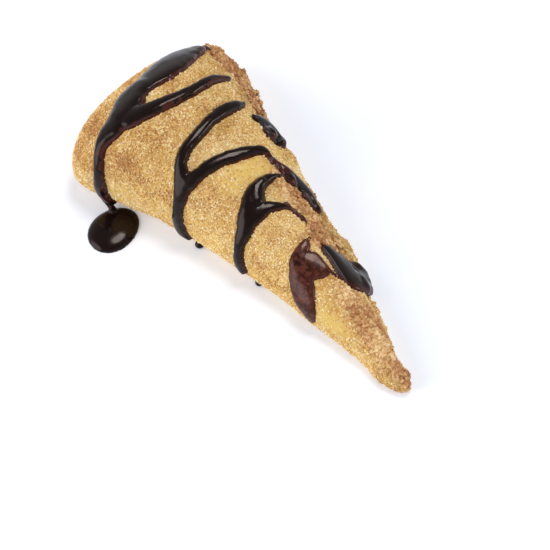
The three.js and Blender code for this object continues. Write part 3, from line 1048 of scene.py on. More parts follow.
@dataclass(frozen=True)
class Stroke:
    """One stroke of sauce: places along, girth angles and widths down its centre."""

    high: float
    path: Rows
    pitch: float = 0.3           # distance between two points of its line
    fewest: int = 4
    least: float = 0.4           # half width at its ends

    def line(self, form: PastryForm) -> tuple[Array, Array]:
        """Works out the stroke's centre on the pastry.

        Args:
            form: The surface it lies on.

        Returns:
            Points in mm, and the stroke's half width at each.
        """
        rows = np.array(self.path, float)
        knots = form.at(rows[:, 0], rows[:, 1])
        run = np.concatenate([[0], np.cumsum(np.linalg.norm(np.diff(knots, axis=0), axis=1))])
        curve = Curve(tuple((r, *row) for r, row in zip(run, rows)))
        t = np.linspace(0, run[-1], max(self.fewest, round(run[-1] / self.pitch)))
        s, deg, width = (curve.at(t, column) for column in (1, 2, 3))
        return form.at(s, deg), np.maximum(self.least, width / 2)


def circle(around: int) -> Array:
    """Angles in radians of a number of points round a circle."""
    return np.arange(around) / around * 2 * math.pi


def facing_out(rings: list[Array], first: Array, last: Array) -> Skin:
    """Closes rings that turn the other way round than the crust's.

    Args:
        rings: The rings' points.
        first: The point that closes the first ring.
        last: The point that closes the last ring.

    Returns:
        Points in mm and blocks of faces.
    """
    points, faces = close_rings(np.array(rings), first, last)
    return points, [np.roll(block[:, ::-1], 1, axis=1) for block in faces]


@dataclass(frozen=True)
class Thread:
    """A rounded run of sauce through the air or over a step: places, radii and depths."""

    path: Rows
    fineness: int = 26
    around: int = 24
    grip: float = 1.3            # how far off the centre its depth still holds, in radii
    grip_more: float = 0.1       # and in mm besides

    def spine(self) -> tuple[Array, ...]:
        """Works out the thread's centre.

        Returns:
            Its points, the radii and the sauce's depths down the thread.
        """
        knots = np.arange(len(self.path), dtype=float)
        curve = Curve(tuple((knot, *row) for knot, row in zip(knots, self.path)))
        fine = np.linspace(0, knots[-1], self.fineness)
        x, y, z, radius, depth = (curve.at(fine, column) for column in range(1, 6))
        return np.stack([x, y, z], -1), radius, depth

    def mesh(self) -> Skin:
        """Works out the thread's closed skin.

        Returns:
            Points in mm and blocks of faces.
        """
        spine, radius, _ = self.spine()
        forward = np.gradient(spine, axis=0)
        forward /= np.linalg.norm(forward, axis=1, keepdims=True)
        sideways = np.cross([0.0, 0.0, 1.0], forward)
        sideways /= np.linalg.norm(sideways, axis=1, keepdims=True)
        up = np.cross(forward, sideways)
        a = circle(self.around)[:, None]
        rings = [p + r * (np.cos(a) * w + np.sin(a) * v)
                 for p, r, w, v in zip(spine, radius, sideways, up)]
        return facing_out(rings, spine[0], spine[-1])

    def deepen(self, where: Array, depth: Array) -> None:
        """Writes the thread's own depth at the points that lie on it.

        Args:
            where: Points of the sauce in mm.
            depth: The depth at each, which is changed.
        """
        for centre, r, amount in zip(*self.spine()):
            near = np.linalg.norm(where - centre, axis=1) < r * self.grip + self.grip_more
            depth[near] = amount


@dataclass(frozen=True)
class Pool:
    """The pool beside the pastry: a low dome with a slightly uneven outline."""

    x: float = 36.6
    y: float = -25.2
    long: float = 8.5            # half its length, towards the angle it is turned to
    wide: float = 6.8
    high: float = 2.3
    turn: float = 105.0
    rows: int = 22
    around: int = 96
    blunt: float = 0.8           # below 1 its rim is steeper
    closed: float = 0.985        # how much of the way to its top the rings go
    waves: Rows = ((2, 0.018, 0.6), (3, 0.02, 2.1))   # its outline: count, height, phase
    grip: float = 1.25           # how far out its depth holds, in half lengths
    grip_high: float = 3.2       # and how high, mm

    def mesh(self) -> Skin:
        """Works out the pool's closed skin.

        Returns:
            Points in mm and blocks of faces.
        """
        t = circle(self.around)
        uneven = 1.0
        for count, deep, phase in self.waves:
            uneven = uneven + deep * np.sin(count * t + phase)
        c, s = math.cos(math.radians(self.turn)), math.sin(math.radians(self.turn))
        rings = []
        for a in np.linspace(0, math.pi / 2 * self.closed, self.rows):
            out = math.cos(a) ** self.blunt
            p = np.stack([self.long * out * np.cos(t) * uneven,
                          self.wide * out * np.sin(t) * uneven], -1)
            p = p @ np.array([[c, s], [-s, c]]) + (self.x, self.y)
            rings.append(np.column_stack([p, np.full(self.around, self.high * math.sin(a))]))
        return facing_out(rings, (self.x, self.y, 0.0), (self.x, self.y, self.high))

    def holds(self, where: Array) -> Array:
        """Which points lie on the pool."""
        near = np.hypot(where[:, 0] - self.x, where[:, 1] - self.y) < self.long * self.grip
        return near & (where[:, 2] < self.grip_high)


@dataclass(frozen=True)
class Drip:
    """A small drip under the flank."""

    x: float
    y: float
    z: float
    radius: float
    tall: float
    around: int = 28
    rows: int = 15
    steepest: float = 1.45       # of the first and last ring, radians from its middle
    grip: float = 1.3            # how far out its depth holds, in radii

    def mesh(self) -> Skin:
        """Works out the drip's closed skin.

        Returns:
            Points in mm and blocks of faces.
        """
        a, r = circle(self.around), self.radius
        rings = [np.column_stack([self.x + r * math.cos(b) * np.cos(a),
                                  self.y + r * math.cos(b) * np.sin(a),
                                  np.full(self.around, self.z + self.tall * math.sin(b))])
                 for b in np.linspace(-self.steepest, self.steepest, self.rows)]
        return facing_out(rings, (self.x, self.y, self.z - self.tall),
                          (self.x, self.y, self.z + self.tall))

    def holds(self, where: Array) -> Array:
        """Which points lie on the drip."""
        return np.hypot(where[:, 0] - self.x, where[:, 1] - self.y) < self.radius * self.grip


@dataclass
class Sauce:
    """All the sauce in one piece: strokes laid on the pastry, threads, a pool, drips."""

    crust: Crust
    thick: float = 1.35
    smear: float = 0.55
    edge: float = 0.1            # height of a rim
    dome: float = 2.6
    sunk: float = 1.1            # how deep the sheet goes on under the crust beyond a rim
    soft: float = 0.14           # how softly one stroke runs into the next
    voxel: float = 0.27
    settling: int = 3
    fills: float = 0.85          # share of the crags' height that is levelled out
    edge_rise: float = 0.5
    least: float = 0.3           # share of its height that sauce keeps over a crag
    wobble: Ripples = (Ripple(0.26, 1.5, 2.0), Ripple(0.3, 3.4, 6.0), Ripple(0.12, 0.8, 4.0))
    firm: float = 1.2            # the higher, the less a rim wobbles
    narrow: float = 0.35         # height of the narrowest strokes, as a share
    widens: float = 2.4          # half width over which that share grows by 1
    fall: float = 1.6            # how steeply the height falls beyond a rim
    margin: float = 2.5          # how far from a stroke its height is worked out
    batch: int = 6000
    swell: Ripples = (Ripple(0.09, 5.5, 8.0), Ripple(0.03, 2.2, 3.0))
    swell_rise: float = 0.6
    kept: float = 0.98           # share of sunk below which the sheet is left out
    under: float = 0.4           # how much lower the sheet's underside is
    depth_rounds: int = 4
    pooled: float = 1.5          # depth of the pool and the drips
    deepest: float = 2.0
    sheer_reach: float = 24.0    # how far from a smear's middle it is sheer, mm
    sheer_rim: float = 1.3       # and how far from its centre line, in half widths
    sheer_fade: float = 0.5
    pool: Pool = Pool()
    drips: tuple[Drip, ...] = (Drip(55.7, -8.6, 0.9, 1.4, 1.1), Drip(76.4, -2.8, 0.9, 1.2, 1.1))
    bare: Patches = (Patch(87.5, 93, 5.5, 3.5, 2.2),)   # dough that stays clear
    threads: tuple[Thread, ...] = (
        Thread(((26.9, -22.3, 7.2, 1.3, 1.5), (28.1, -22.4, 4.6, 1.1, 1.5),
                (29.2, -21.9, 2.8, 0.95, 1.5), (30.6, -21.7, 1.7, 1.0, 1.5),
                (32.2, -22.0, 1.1, 1.6, 1.5))),
        Thread(((41.6, 20.6, 23.4, 0.5, 1.5), (42.1, 21.7, 21.4, 1.25, 1.5),
                (42.3, 23.2, 18.9, 1.75, 1.5), (43.0, 24.7, 16.2, 1.8, 1.5),
                (44.1, 26.0, 14.1, 1.5, 1.5), (45.8, 26.8, 12.9, 0.95, 1.5),
                (47.7, 26.9, 12.8, 0.5, 1.5)), grip=1.7),
        Thread(((58.2, 17.0, 21.8, 0.45, 0.25), (59.6, 17.3, 20.9, 1.05, 0.3),
                (60.9, 17.7, 20.0, 1.45, 0.4), (62.9, 18.9, 17.6, 1.6, 0.7),
                (64.5, 20.5, 14.2, 1.65, 1.2), (66.5, 21.7, 11.2, 1.55, 1.3),
                (69.1, 22.1, 9.8, 0.9, 1.2), (71.1, 22.6, 9.0, 0.4, 0.9))),
    )
    strokes: tuple[Stroke, ...] = (    # in the order in which they were drizzled
        Stroke(thick, (
            (8.9, 12, 2), (10.3, 27, 5), (10.3, 39, 8.5), (11, 50, 11), (11.5, 60, 11.4),
            (12, 70, 10.6), (12.3, 82, 9), (12.5, 94, 8.3), (13.1, 106, 8.4), (15.7, 124, 9.3),
            (17.7, 138, 7.3), (18.3, 149, 4.8), (19.4, 156, 3.1), (20.8, 162, 2.8), (22, 168, 3),
            (22.8, 177, 3.4), (23.4, 186, 3.4), (24.2, 193, 3), (25.2, 199, 2.4))),
        Stroke(thick, (
            (26.6, 32, 1.3), (25.7, 46, 2.7), (25.9, 57, 3), (25.9, 70, 3.2), (25.1, 86, 3.7),
            (23.6, 102, 4.4), (21.9, 114, 5.6), (19.4, 127, 7))),
        Stroke(thick, (
            (36.1, 38, 1.8), (36, 46, 3.2), (36, 57, 3.6), (36.6, 71, 3.3), (37.6, 86, 3.2),
            (38.6, 102, 3.3), (39.6, 116, 3.2), (41.3, 128, 3.2), (43.8, 136, 4.1),
            (46.4, 145, 4.8), (47.6, 155, 3.8), (48.3, 166, 3.1), (48.8, 177, 3.6),
            (49.5, 187, 3.5), (50.4, 194, 2.8), (51.6, 198, 1.8))),
        Stroke(thick, (
            (56.4, 59, 0.6), (54.9, 57, 0.9), (53.2, 57, 1.9), (51.8, 60, 2.8), (50.8, 68, 3),
            (49.8, 80, 3.6), (49, 91, 3.9), (48.1, 104, 3.7), (47.6, 118, 3.6), (47.3, 128, 3.6),
            (47.1, 138, 4.2))),
        Stroke(thick, (
            (61.2, 58, 0.9), (60.3, 68, 1.6), (60, 79, 2.6), (60.5, 93, 3.8), (61.6, 106, 4.6),
            (63.8, 118, 5.2), (66, 130, 5.8), (67.5, 140, 4.8), (68.5, 152, 3.4),
            (69.7, 165, 2.8), (70.7, 178, 3), (72, 187, 2.4))),
        Stroke(1.1, (
            (69.7, 84, 1.2), (68, 96, 2.6), (67, 106, 3.5), (66.5, 118, 4.6), (66.7, 130, 5))),
        Stroke(smear, (
            (80.7, 91, 0.8), (81.5, 101, 2.2), (82.7, 116, 3.1), (83.8, 127, 4),
            (85.5, 135, 4.6), (87.9, 142, 6.1), (90.2, 151, 7), (92.4, 160, 6.4),
            (94.7, 170, 5.2), (95.9, 178, 3.4), (96.8, 185, 1.4))),
        Stroke(smear, (
            (85.4, 130, 6), (86.9, 121, 7.4), (88.3, 112, 7.2), (89.2, 105, 5.6),
            (89.6, 100, 3.4))),
        Stroke(0.9, (
            (84.4, 76, 1.8), (86, 76, 4.6), (88, 72, 7), (90.4, 63, 9.4), (92, 53, 12),
            (93.4, 39, 12.4), (94.6, 23, 11.4), (95.6, 8, 8.6), (96.8, -2, 5), (98.4, -6, 2.6))),
        Stroke(1.9, (
            (43, 30, 2.6), (43.8, 22, 5.4), (44, 13, 6.6), (45.2, 8, 5), (47, 7, 2.2))),
        Stroke(0.9, (
            (53, 60, 0.8), (54.6, 57, 1.4), (56.8, 55, 1.8), (59.6, 53, 3.4), (62, 46, 4.6),
            (63, 34, 5), (64, 22, 5), (65.5, 14, 4.6), (67.8, 8, 2.6), (69.9, 5, 1.2))),
        Stroke(1.8, (
            (12.4, 96, 7), (13.2, 107, 8.4), (14.6, 119, 9.2), (16.4, 130.5, 6.8))),
        Stroke(1.8, (
            (60.2, 88, 3.2), (60.9, 97, 4.4), (62.4, 104, 5), (63.6, 108, 4.2))),
        Stroke(0.5, (
            (69.2, 84, 1.8), (70.7, 82, 1.2), (72.6, 79, 1.7), (74.2, 76, 1.6),
            (75.8, 76, 0.8))),
    )

    def prepare(self) -> Array:
        """Lays out the strokes.

        Returns:
            The sauce's height at each point of the crust's plain surface.
        """
        self.lines = [(stroke.high, *stroke.line(self.crust.form)) for stroke in self.strokes]
        self.on_crust = (self.height(self.crust.base.reshape(-1, 3))
                         - patched(self.bare, self.crust.along, self.crust.around).ravel())
        return self.on_crust

    def height(self, points: Array, rounds: int = 0) -> Array:
        """Works out how far the sauce stands off the pastry.

        Args:
            points: Places in mm, one row each, on the pastry's plain surface.
            rounds: For places on the sauce instead, how often its height is taken off
                their distance from a stroke's centre.

        Returns:
            Height in mm at each; below 0 beyond a stroke's rim.
        """
        wobble = rippled(self.wobble, points)
        heights = []
        for high, line, half in self.lines:
            out = np.full(len(points), -self.sunk)
            reach = half.max() + self.margin
            low, top = line.min(0) - reach, line.max(0) + reach
            near = np.flatnonzero(((points > low) & (points < top)).all(1))
            for chunk in np.array_split(near, max(1, len(near) // self.batch)):
                far = np.linalg.norm(points[chunk, None] - line[None], axis=2)
                ratio = far / half
                row, k = np.arange(len(chunk)), ratio.argmin(1)
                width, aside = half[k], far[row, k]
                shift = wobble[chunk] / (width + self.firm)
                u = ratio[row, k] + shift
                full = high * np.minimum(1, self.narrow + width / self.widens)
                for _ in range(rounds + 1):
                    inside = np.sqrt(np.maximum(0, 1 - np.clip(u, 0, 1) ** self.dome))
                    on = self.edge + (full - self.edge) * inside
                    if rounds:
                        u = np.sqrt(np.maximum(0, aside ** 2 - on ** 2)) / width + shift
                off = -(u - 1) * width * self.fall
                out[chunk] = np.where(u < 1, on, np.maximum(off, -self.sunk))
            heights.append(out)
        above = (np.array(heights) + self.sunk) / self.soft
        return self.soft * np.log(1 + np.expm1(above).sum(0)) - self.sunk

    def sheer(self, where: Array) -> Array:
        """Finds where the sauce is a smear that lets the crust's colour through.

        Args:
            where: Points of the sauce in mm.

        Returns:
            How sheer it is at each, 0 to 1.
        """
        share = np.zeros(len(where))
        for line, half in (rest for high, *rest in self.lines if high == self.smear):
            near = np.flatnonzero((np.abs(where - line.mean(0)) < self.sheer_reach).all(1))
            ratio = (np.linalg.norm(where[near, None] - line[None], axis=2) / half).min(1)
            fresh = smooth((self.sheer_rim - ratio) / self.sheer_fade)
            share[near] = np.maximum(share[near], fresh)
        return share

    def level(self, height: Array) -> Array:
        """Lets thick sauce fill the hollows between crags instead of following them.

        Args:
            height: Its height over the plain surface.

        Returns:
            The levelled height.
        """
        crags = self.crust.unevenness.ravel()
        sunk = patched(self.crust.dents, self.crust.along, self.crust.around).ravel()
        filled = height - (self.fills * crags + sunk) * smooth(height / self.edge_rise)
        return np.where(height > 0, np.maximum(filled, self.least * height - sunk), height)

    def blanket(self) -> Skin:
        """Works out the strokes as one closed sheet that follows the pastry.

        Returns:
            Points in mm and blocks of faces.
        """
        base, outward, height = self.crust.base, self.crust.outward, self.on_crust
        rows, columns = base.shape[:2]
        swell = rippled(self.swell, base.reshape(-1, 3))
        swell = swell * np.clip(height / self.swell_rise, 0, 1)
        height = np.where(height > 0, height + swell, height)
        lift = self.level(height).reshape(rows, columns)
        keep = lift > -self.sunk * self.kept
        cells = keep[:-1] | keep[1:]
        cells = cells | np.roll(cells, -1, axis=1)
        corner = grid_faces(rows, columns)
        top, lower = corner[cells], rows * columns
        padded = np.pad(cells, ((1, 1), (0, 0)))
        sides = ((padded[:-2], 0, 3), (padded[2:], 2, 1),
                 (np.roll(cells, 1, axis=1), 1, 0), (np.roll(cells, -1, axis=1), 3, 2))
        walls = []
        for beside, a, b in sides:
            open_edge = corner[cells & ~beside]
            p, q = open_edge[:, a], open_edge[:, b]
            walls.append(np.stack([p, q, q + lower, p + lower], -1))
        crown = (base + outward * lift[..., None]).reshape(-1, 3)
        floor = (base - outward * (self.sunk + self.under)).reshape(-1, 3)
        return np.concatenate([crown, floor]), [top, top[:, ::-1] + lower, *walls]

    def depths(self, where: Array) -> Array:
        """Works out how deep the sauce is.

        Args:
            where: Points of the sauce in mm.

        Returns:
            The depth in mm at each.
        """
        depth = self.height(where, self.depth_rounds)
        for blob in (self.pool, *self.drips):
            depth[blob.holds(where)] = self.pooled
        for thread in self.threads:
            thread.deepen(where, depth)
        return np.clip(depth, 0, self.deepest)

    def build(self) -> bpy.types.Object:
        """Fuses all the parts of the sauce and dresses them.

        Returns:
            The dressed piece.
        """
        lumps = (self.pool, *self.threads, *self.drips)
        points, faces, base = [], [], 0
        for part_points, part_faces in (self.blanket(), *(lump.mesh() for lump in lumps)):
            used = np.unique(np.concatenate([block.ravel() for block in part_faces]))
            renumber = np.full(len(part_points), -1)
            renumber[used] = np.arange(len(used)) + base
            points.append(part_points[used])
            faces += [renumber[block] for block in part_faces]
            base += len(used)
        raw = make_piece("sauce_raw", np.concatenate(points), faces)
        piece = fuse(raw, self.voxel, "chocolate_sauce")
        settle(piece, self.settling)
        where = piece_points(piece)
        where[:, 2] = np.maximum(where[:, 2], 0.0)
        set_points(piece.data, where)
        write_field(piece, "depth", self.depths(where))
        write_field(piece, "sheer", self.sheer(where))
        SauceFinish().apply(piece)
        piece.data.update()
        return piece


def fuse(raw: bpy.types.Object, voxel: float, name: str) -> bpy.types.Object:
    """Fuses overlapping closed parts of a mesh into one skin.

    Args:
        raw: The overlapping parts, which are removed.
        voxel: Fineness in mm.
        name: The new piece's name.

    Returns:
        The fused piece.
    """
    modifier = raw.modifiers.new("fuse", "REMESH")
    modifier.mode = "VOXEL"
    modifier.voxel_size = voxel * MM
    graph = bpy.context.evaluated_depsgraph_get()
    mesh = bpy.data.meshes.new_from_object(raw.evaluated_get(graph))
    bpy.data.objects.remove(raw)
    mesh.name = name
    mesh.polygons.foreach_set("use_smooth", np.full(len(mesh.polygons), True))
    return new_object(name, mesh)


def settle(piece: bpy.types.Object, rounds: int) -> None:
    """Evens out the steps that fusing leaves, without shrinking the piece.

    Args:
        piece: The fused piece.
        rounds: How many times it is evened out.
    """
    there, back = 0.6, -0.53     # shares of the way to the mean of a point's neighbours
    points = piece_points(piece)
    edges = np.zeros(len(piece.data.edges) * 2, np.int32)
    piece.data.edges.foreach_get("vertices", edges)
    a, b = edges[0::2], edges[1::2]
    count = np.bincount(edges, minlength=len(points)).astype(float)[:, None]
    for share in (there, back) * rounds:
        total = np.stack([np.bincount(a, points[b, k], len(points))
                          + np.bincount(b, points[a, k], len(points)) for k in range(3)], -1)
        points = points + share * (total / np.maximum(count, 1) - points)
    set_points(piece.data, points)


# ------------------------ grains


class Crystal(Enum):
    """Shapes of a grain: corners of unit size and its faces."""

    CUBE = (((-1, -1, -1), (1, -1, -1), (1, 1, -1), (-1, 1, -1),
             (-1, -1, 1), (1, -1, 1), (1, 1, 1), (-1, 1, 1)),
            ((0, 3, 2, 1), (4, 5, 6, 7), (0, 1, 5, 4), (1, 2, 6, 5), (2, 3, 7, 6), (3, 0, 4, 7)))
    CHIP = (((1.2, 0, 0), (0, 1.2, 0), (-1.2, 0, 0), (0, -1.2, 0), (0, 0, 1), (0, 0, -1)),
            ((0, 1, 4), (1, 2, 4), (2, 3, 4), (3, 0, 4), (1, 0, 5), (2, 1, 5), (3, 2, 5),
             (0, 3, 5)))


@dataclass
class Grains:
    """Loose grains of one kind, scattered over the crust clear of the sauce."""

    name: str
    crystal: Crystal
    count: int
    sizes: tuple[float, float]
    finish: GrainFinish
    slot: str
    seed: int
    weights: dict[str, float]    # how much thicker they lie where each field is strong
    plain: float
    sunk: float                  # share of a grain that is in the crust
    # grains run darker where the baked-brown field, with its painted shade, is strong, and lighter
    # on smooth dough, which includes the painted light of the lower flank
    shades: dict[str, float] = field(default_factory=lambda: {
        "spice": 0.26, "toast_and_shade": 0.5, "sleek_and_lit": -0.35, "pale": -0.6})
    shading: Ripples = (Ripple(0.42, 4.2, 9.0), Ripple(0.3, 9.0, 4.0))
    tone_from: float = 0.02
    tone_range: float = 0.85
    deepest_tone: float = 1.15
    off_sauce: float = -0.05     # the sauce's height where they may lie
    off_floor: float = 0.25
    clump_size: float = 2.6
    clumping: float = 0.9
    clump_from: float = 0.75
    between: float = 0.25        # how thick they lie between the clumps
    small_share: float = 1.8     # above 1 most grains are small
    uneven: tuple[float, float] = (0.72, 1.15)   # a grain's sides
    cut: tuple[float, float] = (0.82, 1.1)       # and its corners
    lowest: float = 0.02

    def density(self, crust: Crust) -> Array:
        """Works out how thickly the grains lie.

        Args:
            crust: The crust they lie on.

        Returns:
            The thickness at each point of the crust.
        """
        thick = np.full(len(crust.points), self.plain)
        for name, weight in self.weights.items():
            thick = thick + weight * crust.fields[name]
        return np.maximum(thick, 0.0)

    def scatter(self, crust: Crust, covered: Array) -> tuple[Array, Array, Array]:
        """Draws places for the grains.

        Args:
            crust: The crust they lie on.
            covered: For each point of the crust's grid, the sauce's height there.

        Returns:
            Places in mm, the outward directions there, and how much deeper each
            grain's colour is.
        """
        draw = np.random.default_rng(self.seed)
        p, quads = crust.points, crust.quads
        a, b, c, d = (p[quads[:, k]] for k in range(4))
        cross = np.cross(c - a, d - b)
        area = np.linalg.norm(cross, axis=1) / 2
        thick = self.density(crust)[quads].mean(1)
        clear = ((covered[quads].max(1) < self.off_sauce)
                 & (p[quads][:, :, 2].min(1) > self.off_floor))
        clump = Ripple(self.clumping, self.clump_size, float(self.seed)).at((a + c) / 2)
        weight = area * thick * clear * (self.between + smooth(self.clump_from + clump))
        pick = draw.choice(len(quads), self.count, p=weight / weight.sum())
        u, v = draw.random((2, self.count, 1))
        place = ((a[pick] * (1 - u) + b[pick] * u) * (1 - v)
                 + (d[pick] * (1 - u) + c[pick] * u) * v)
        outward = -cross[pick] / np.maximum(2 * area[pick, None], TINY)
        shade = rippled(self.shading, place)
        for name, weight in self.shades.items():
            shade = shade + weight * crust.fields[name][quads[pick]].mean(1)
        return place, outward, shade

    def build(self, crust: Crust, covered: Array) -> bpy.types.Object:
        """Builds all the grains as one mesh.

        Args:
            crust: The crust they lie on.
            covered: For each point of the crust's grid, the sauce's height there.

        Returns:
            The dressed piece.
        """
        place, outward, shade = self.scatter(crust, covered)
        draw, n = np.random.default_rng(self.seed + 1), self.count
        small, large = self.sizes
        size = small + (large - small) * draw.random(n) ** self.small_share
        shape = draw.uniform(*self.uneven, (n, 3)) * size[:, None] / 2
        corners, faces = (np.array(rows, float) for rows in self.crystal.value)
        axes = random_turns(draw, n)
        cut = draw.uniform(*self.cut, (n, len(corners), 1))
        solid = np.einsum("nij,nkj->nki", axes, corners[None] * cut * shape[:, None])
        lift = (0.5 - self.sunk) * size[:, None]
        points = (place + outward * lift)[:, None] + solid
        points[..., 2] = np.maximum(points[..., 2], self.lowest)
        blocks = faces.astype(int)[None] + (np.arange(n) * len(corners))[:, None, None]
        piece = make_piece(self.name, points.reshape(-1, 3),
                           [blocks.reshape(-1, faces.shape[1])], Shading.FACETED)
        tone = self.tone_from + self.tone_range * draw.random(n) + shade
        tone = np.clip(tone, 0.0, self.deepest_tone)
        write_field(piece, "tone", np.repeat(tone, len(corners)))
        self.finish.apply(piece)
        return piece


def random_turns(draw: np.random.Generator, count: int) -> Array:
    """Draws random rotations.

    Args:
        draw: The seeded source.
        count: How many.

    Returns:
        One 3 by 3 matrix a row.
    """
    q = draw.normal(size=(count, 4))
    w, x, y, z = (q / np.linalg.norm(q, axis=1, keepdims=True)).T
    return np.stack([
        np.stack([1 - 2 * (y * y + z * z), 2 * (x * y - w * z), 2 * (x * z + w * y)], -1),
        np.stack([2 * (x * y + w * z), 1 - 2 * (x * x + z * z), 2 * (y * z - w * x)], -1),
        np.stack([2 * (x * z - w * y), 2 * (y * z + w * x), 1 - 2 * (x * x + y * y)], -1)], 1)


def grain_kinds() -> tuple[Grains, ...]:
    """Names the kinds of grain.

    Returns:
        The kinds, from the largest crumbs to the specks of cinnamon.
    """
    sugar = GrainFinish("sugar_crystals", srgb(248, 230, 182), srgb(236, 204, 140),
                        srgb(206, 158, 94), rough=0.4, shine=0.35)
    crumb = GrainFinish("golden_crumbs", srgb(236, 200, 126), srgb(214, 168, 96),
                        srgb(178, 120, 66), rough=0.5, shine=0.3)
    coarse = GrainFinish("toasted_crumbs", srgb(238, 208, 156), srgb(216, 172, 116),
                         srgb(178, 122, 78), rough=0.5, shine=0.35)
    spice = GrainFinish("cinnamon_specks", srgb(190, 130, 72), srgb(158, 98, 52),
                        srgb(118, 70, 38), rough=0.6, shine=0.3)
    return (
        # fewer light grains lie where the baked-brown field, with its painted shade, is strong,
        # and fewer on smooth dough and the painted-lit lower flank
        Grains("toasted_crumbs", Crystal.CUBE, 3800, (0.6, 1.2), coarse, "crust", seed=53,
               weights={"rosy": 1.0, "toast_and_shade": 0.2}, plain=-0.12, sunk=0.45),
        Grains("golden_crumbs", Crystal.CHIP, 22000, (0.3, 0.64), crumb, "crust", seed=11,
               weights={"toast_and_shade": -0.8, "sleek_and_lit": -0.85, "spice": 0.5}, plain=0.9, sunk=0.4),
        Grains("sugar_crystals", Crystal.CUBE, 16000, (0.26, 0.54), sugar, "sugar", seed=23,
               weights={"toast_and_shade": -1.0, "sleek_and_lit": -0.85, "spice": 0.2, "pale": 1.5},
               plain=1.0, sunk=0.4),
        Grains("cinnamon_specks", Crystal.CHIP, 8000, (0.15, 0.32), spice, "cinnamon", seed=37,
               weights={"toast_and_shade": 0.2, "spice": 2.0}, plain=0.15, sunk=0.4),
    )


# ------------------------ stage


@dataclass(frozen=True)
class SoftBox:
    """A soft light, aimed at the middle of the pastry; its place and size in metres."""

    name: str
    place: tuple[float, float, float]
    size: float
    power: float
    tint: tuple[float, float, float] = (1.0, 1.0, 1.0)

    def build(self) -> None:
        """Hangs the light."""
        light = bpy.data.lights.new(self.name, "AREA")
        light.shape = "DISK"
        light.size = self.size
        light.energy = self.power
        light.color = self.tint
        lamp = new_object(self.name, light)
        lamp.location = self.place
        lamp.rotation_euler = (-Vector(self.place)).to_track_quat("-Z", "Y").to_euler()


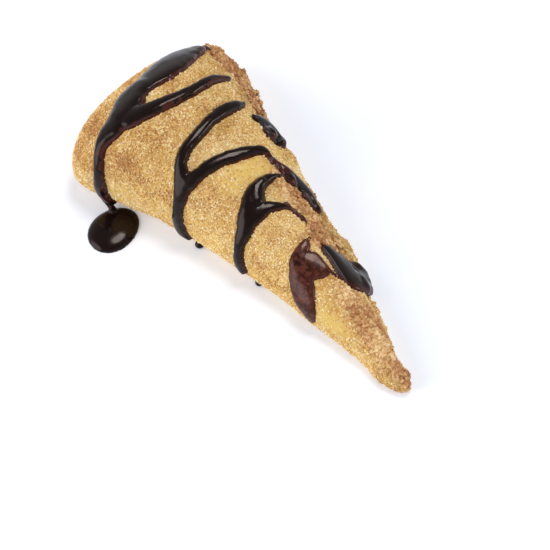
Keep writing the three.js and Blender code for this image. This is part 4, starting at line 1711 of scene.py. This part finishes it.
@dataclass
class Stage:
    """Floor, light and the camera at the photograph's angle."""

    azimuth: float = 53.5        # degrees from -Y towards +X
    elevation: float = 55.0
    distance: float = 620.0      # mm
    mm_per_pixel: float = 0.28   # at the anchor
    frame_pixels: float = 550.0
    anchor: tuple[float, ...] = (65.0, 0.0, 10.0)     # mm from the wide end
    anchor_pixel: tuple[float, float] = (243.0, 232.0)
    film: float = 36.0
    clip: tuple[float, float] = (0.05, 20.0)    # metres
    floor_size: float = 3.0      # metres
    floor_gap: float = 0.02      # mm between it and the pastry
    bright: float = 0.75         # the surround low down
    dim: float = 0.24            # and overhead
    bright_below: float = 0.15   # heights between which it changes, on a unit sphere
    dim_above: float = 0.85
    lights: tuple[SoftBox, ...] = (
        SoftBox("top_softbox", (-0.1, 0.3, 1.1), 0.45, 4.9, (1.0, 0.99, 0.97)),
        SoftBox("left_softbox", (-0.3, -0.95, 0.55), 1.1, 8.0, (0.98, 0.97, 1.0)),
        SoftBox("right_softbox", (0.75, 0.75, 0.45), 0.35, 2.2),
    )

    def camera(self) -> None:
        """Places the camera so that the anchor falls on its pixel."""
        a, e = math.radians(self.azimuth), math.radians(self.elevation)
        right = Vector((math.cos(a), math.sin(a), 0.0))
        back = Vector((math.sin(a) * math.cos(e), -math.cos(a) * math.cos(e), math.sin(e)))
        up = back.cross(right)
        centre = self.frame_pixels / 2
        off_x = (self.anchor_pixel[0] - centre) * self.mm_per_pixel
        off_y = -(self.anchor_pixel[1] - centre) * self.mm_per_pixel
        aim = Vector(self.anchor) - Vector(MIDDLE) - off_x * right - off_y * up
        data = bpy.data.cameras.new("camera")
        data.sensor_width = self.film
        data.lens = self.distance / (self.mm_per_pixel * self.frame_pixels) * self.film
        data.clip_start, data.clip_end = self.clip
        eye = new_object("camera", data)
        turn = Matrix((right, up, back)).transposed().to_4x4()
        eye.matrix_world = Matrix.Translation((aim + back * self.distance) * MM) @ turn
        bpy.context.scene.camera = eye

    def floor(self) -> None:
        """Lays the floor just under the pastry."""
        half = self.floor_size / MM / 2
        corners = np.array([(x * half, y * half, -self.floor_gap)
                            for x, y in ((-1, -1), (1, -1), (1, 1), (-1, 1))]) + MIDDLE
        piece = make_piece("floor", corners, [np.array([[0, 1, 2, 3]])])
        PaperFinish().apply(piece)

    def sky(self) -> None:
        """Makes a pale surround, bright low down and darker overhead."""
        world = bpy.data.worlds.new("surround")
        world.use_nodes = True
        nodes = Nodes(world.node_tree)
        place = nodes.add("TexCoord", "Generated", {})
        height = nodes.add("SeparateXYZ", "Z", {"Vector": place})
        strength = nodes.add("MapRange", "Result", {
            "Value": height, "From Min": self.bright_below, "From Max": self.dim_above,
            "To Min": self.bright, "To Max": self.dim})
        glow = nodes.add("Background", "Background", {
            "Color": (1.0, 1.0, 1.0, 1.0), "Strength": strength})
        out = world.node_tree.nodes.new("ShaderNodeOutputWorld")
        nodes.put(out.inputs["Surface"], glow)
        bpy.context.scene.world = world

    def build(self) -> None:
        """Sets up the whole stage."""
        self.camera()
        self.floor()
        self.sky()
        for light in self.lights:
            light.build()
        view = bpy.context.scene.view_settings
        view.view_transform = "Standard"
        view.look = "None"


def finish_piece(piece: bpy.types.Object) -> None:
    """Lets a piece ride on the pastry's body and reports it.

    Args:
        piece: The piece.
    """
    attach(piece, "root")
    log.info("%s: %d points, %d faces", piece.name, len(piece.data.vertices),
             len(piece.data.polygons))


def main() -> None:
    """Builds the stage, the crust, the sauce and the grains."""
    logging.basicConfig(level=logging.INFO, format="%(name)s %(message)s")
    Stage().build()
    crust = Crust()
    crust.lay_out()
    sauce = Sauce(crust)
    covered = sauce.prepare()
    crust_piece = crust.build(covered)
    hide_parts("pastry")
    finish_piece(crust_piece)
    sauce_piece = sauce.build()
    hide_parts("pastry")
    finish_piece(sauce_piece)
    covered = np.concatenate([covered, [-sauce.sunk] * 2])    # no sauce on the two ends
    for grains in grain_kinds():
        finish_piece(grains.build(crust, covered))


if __name__ == "__main__":
    main()
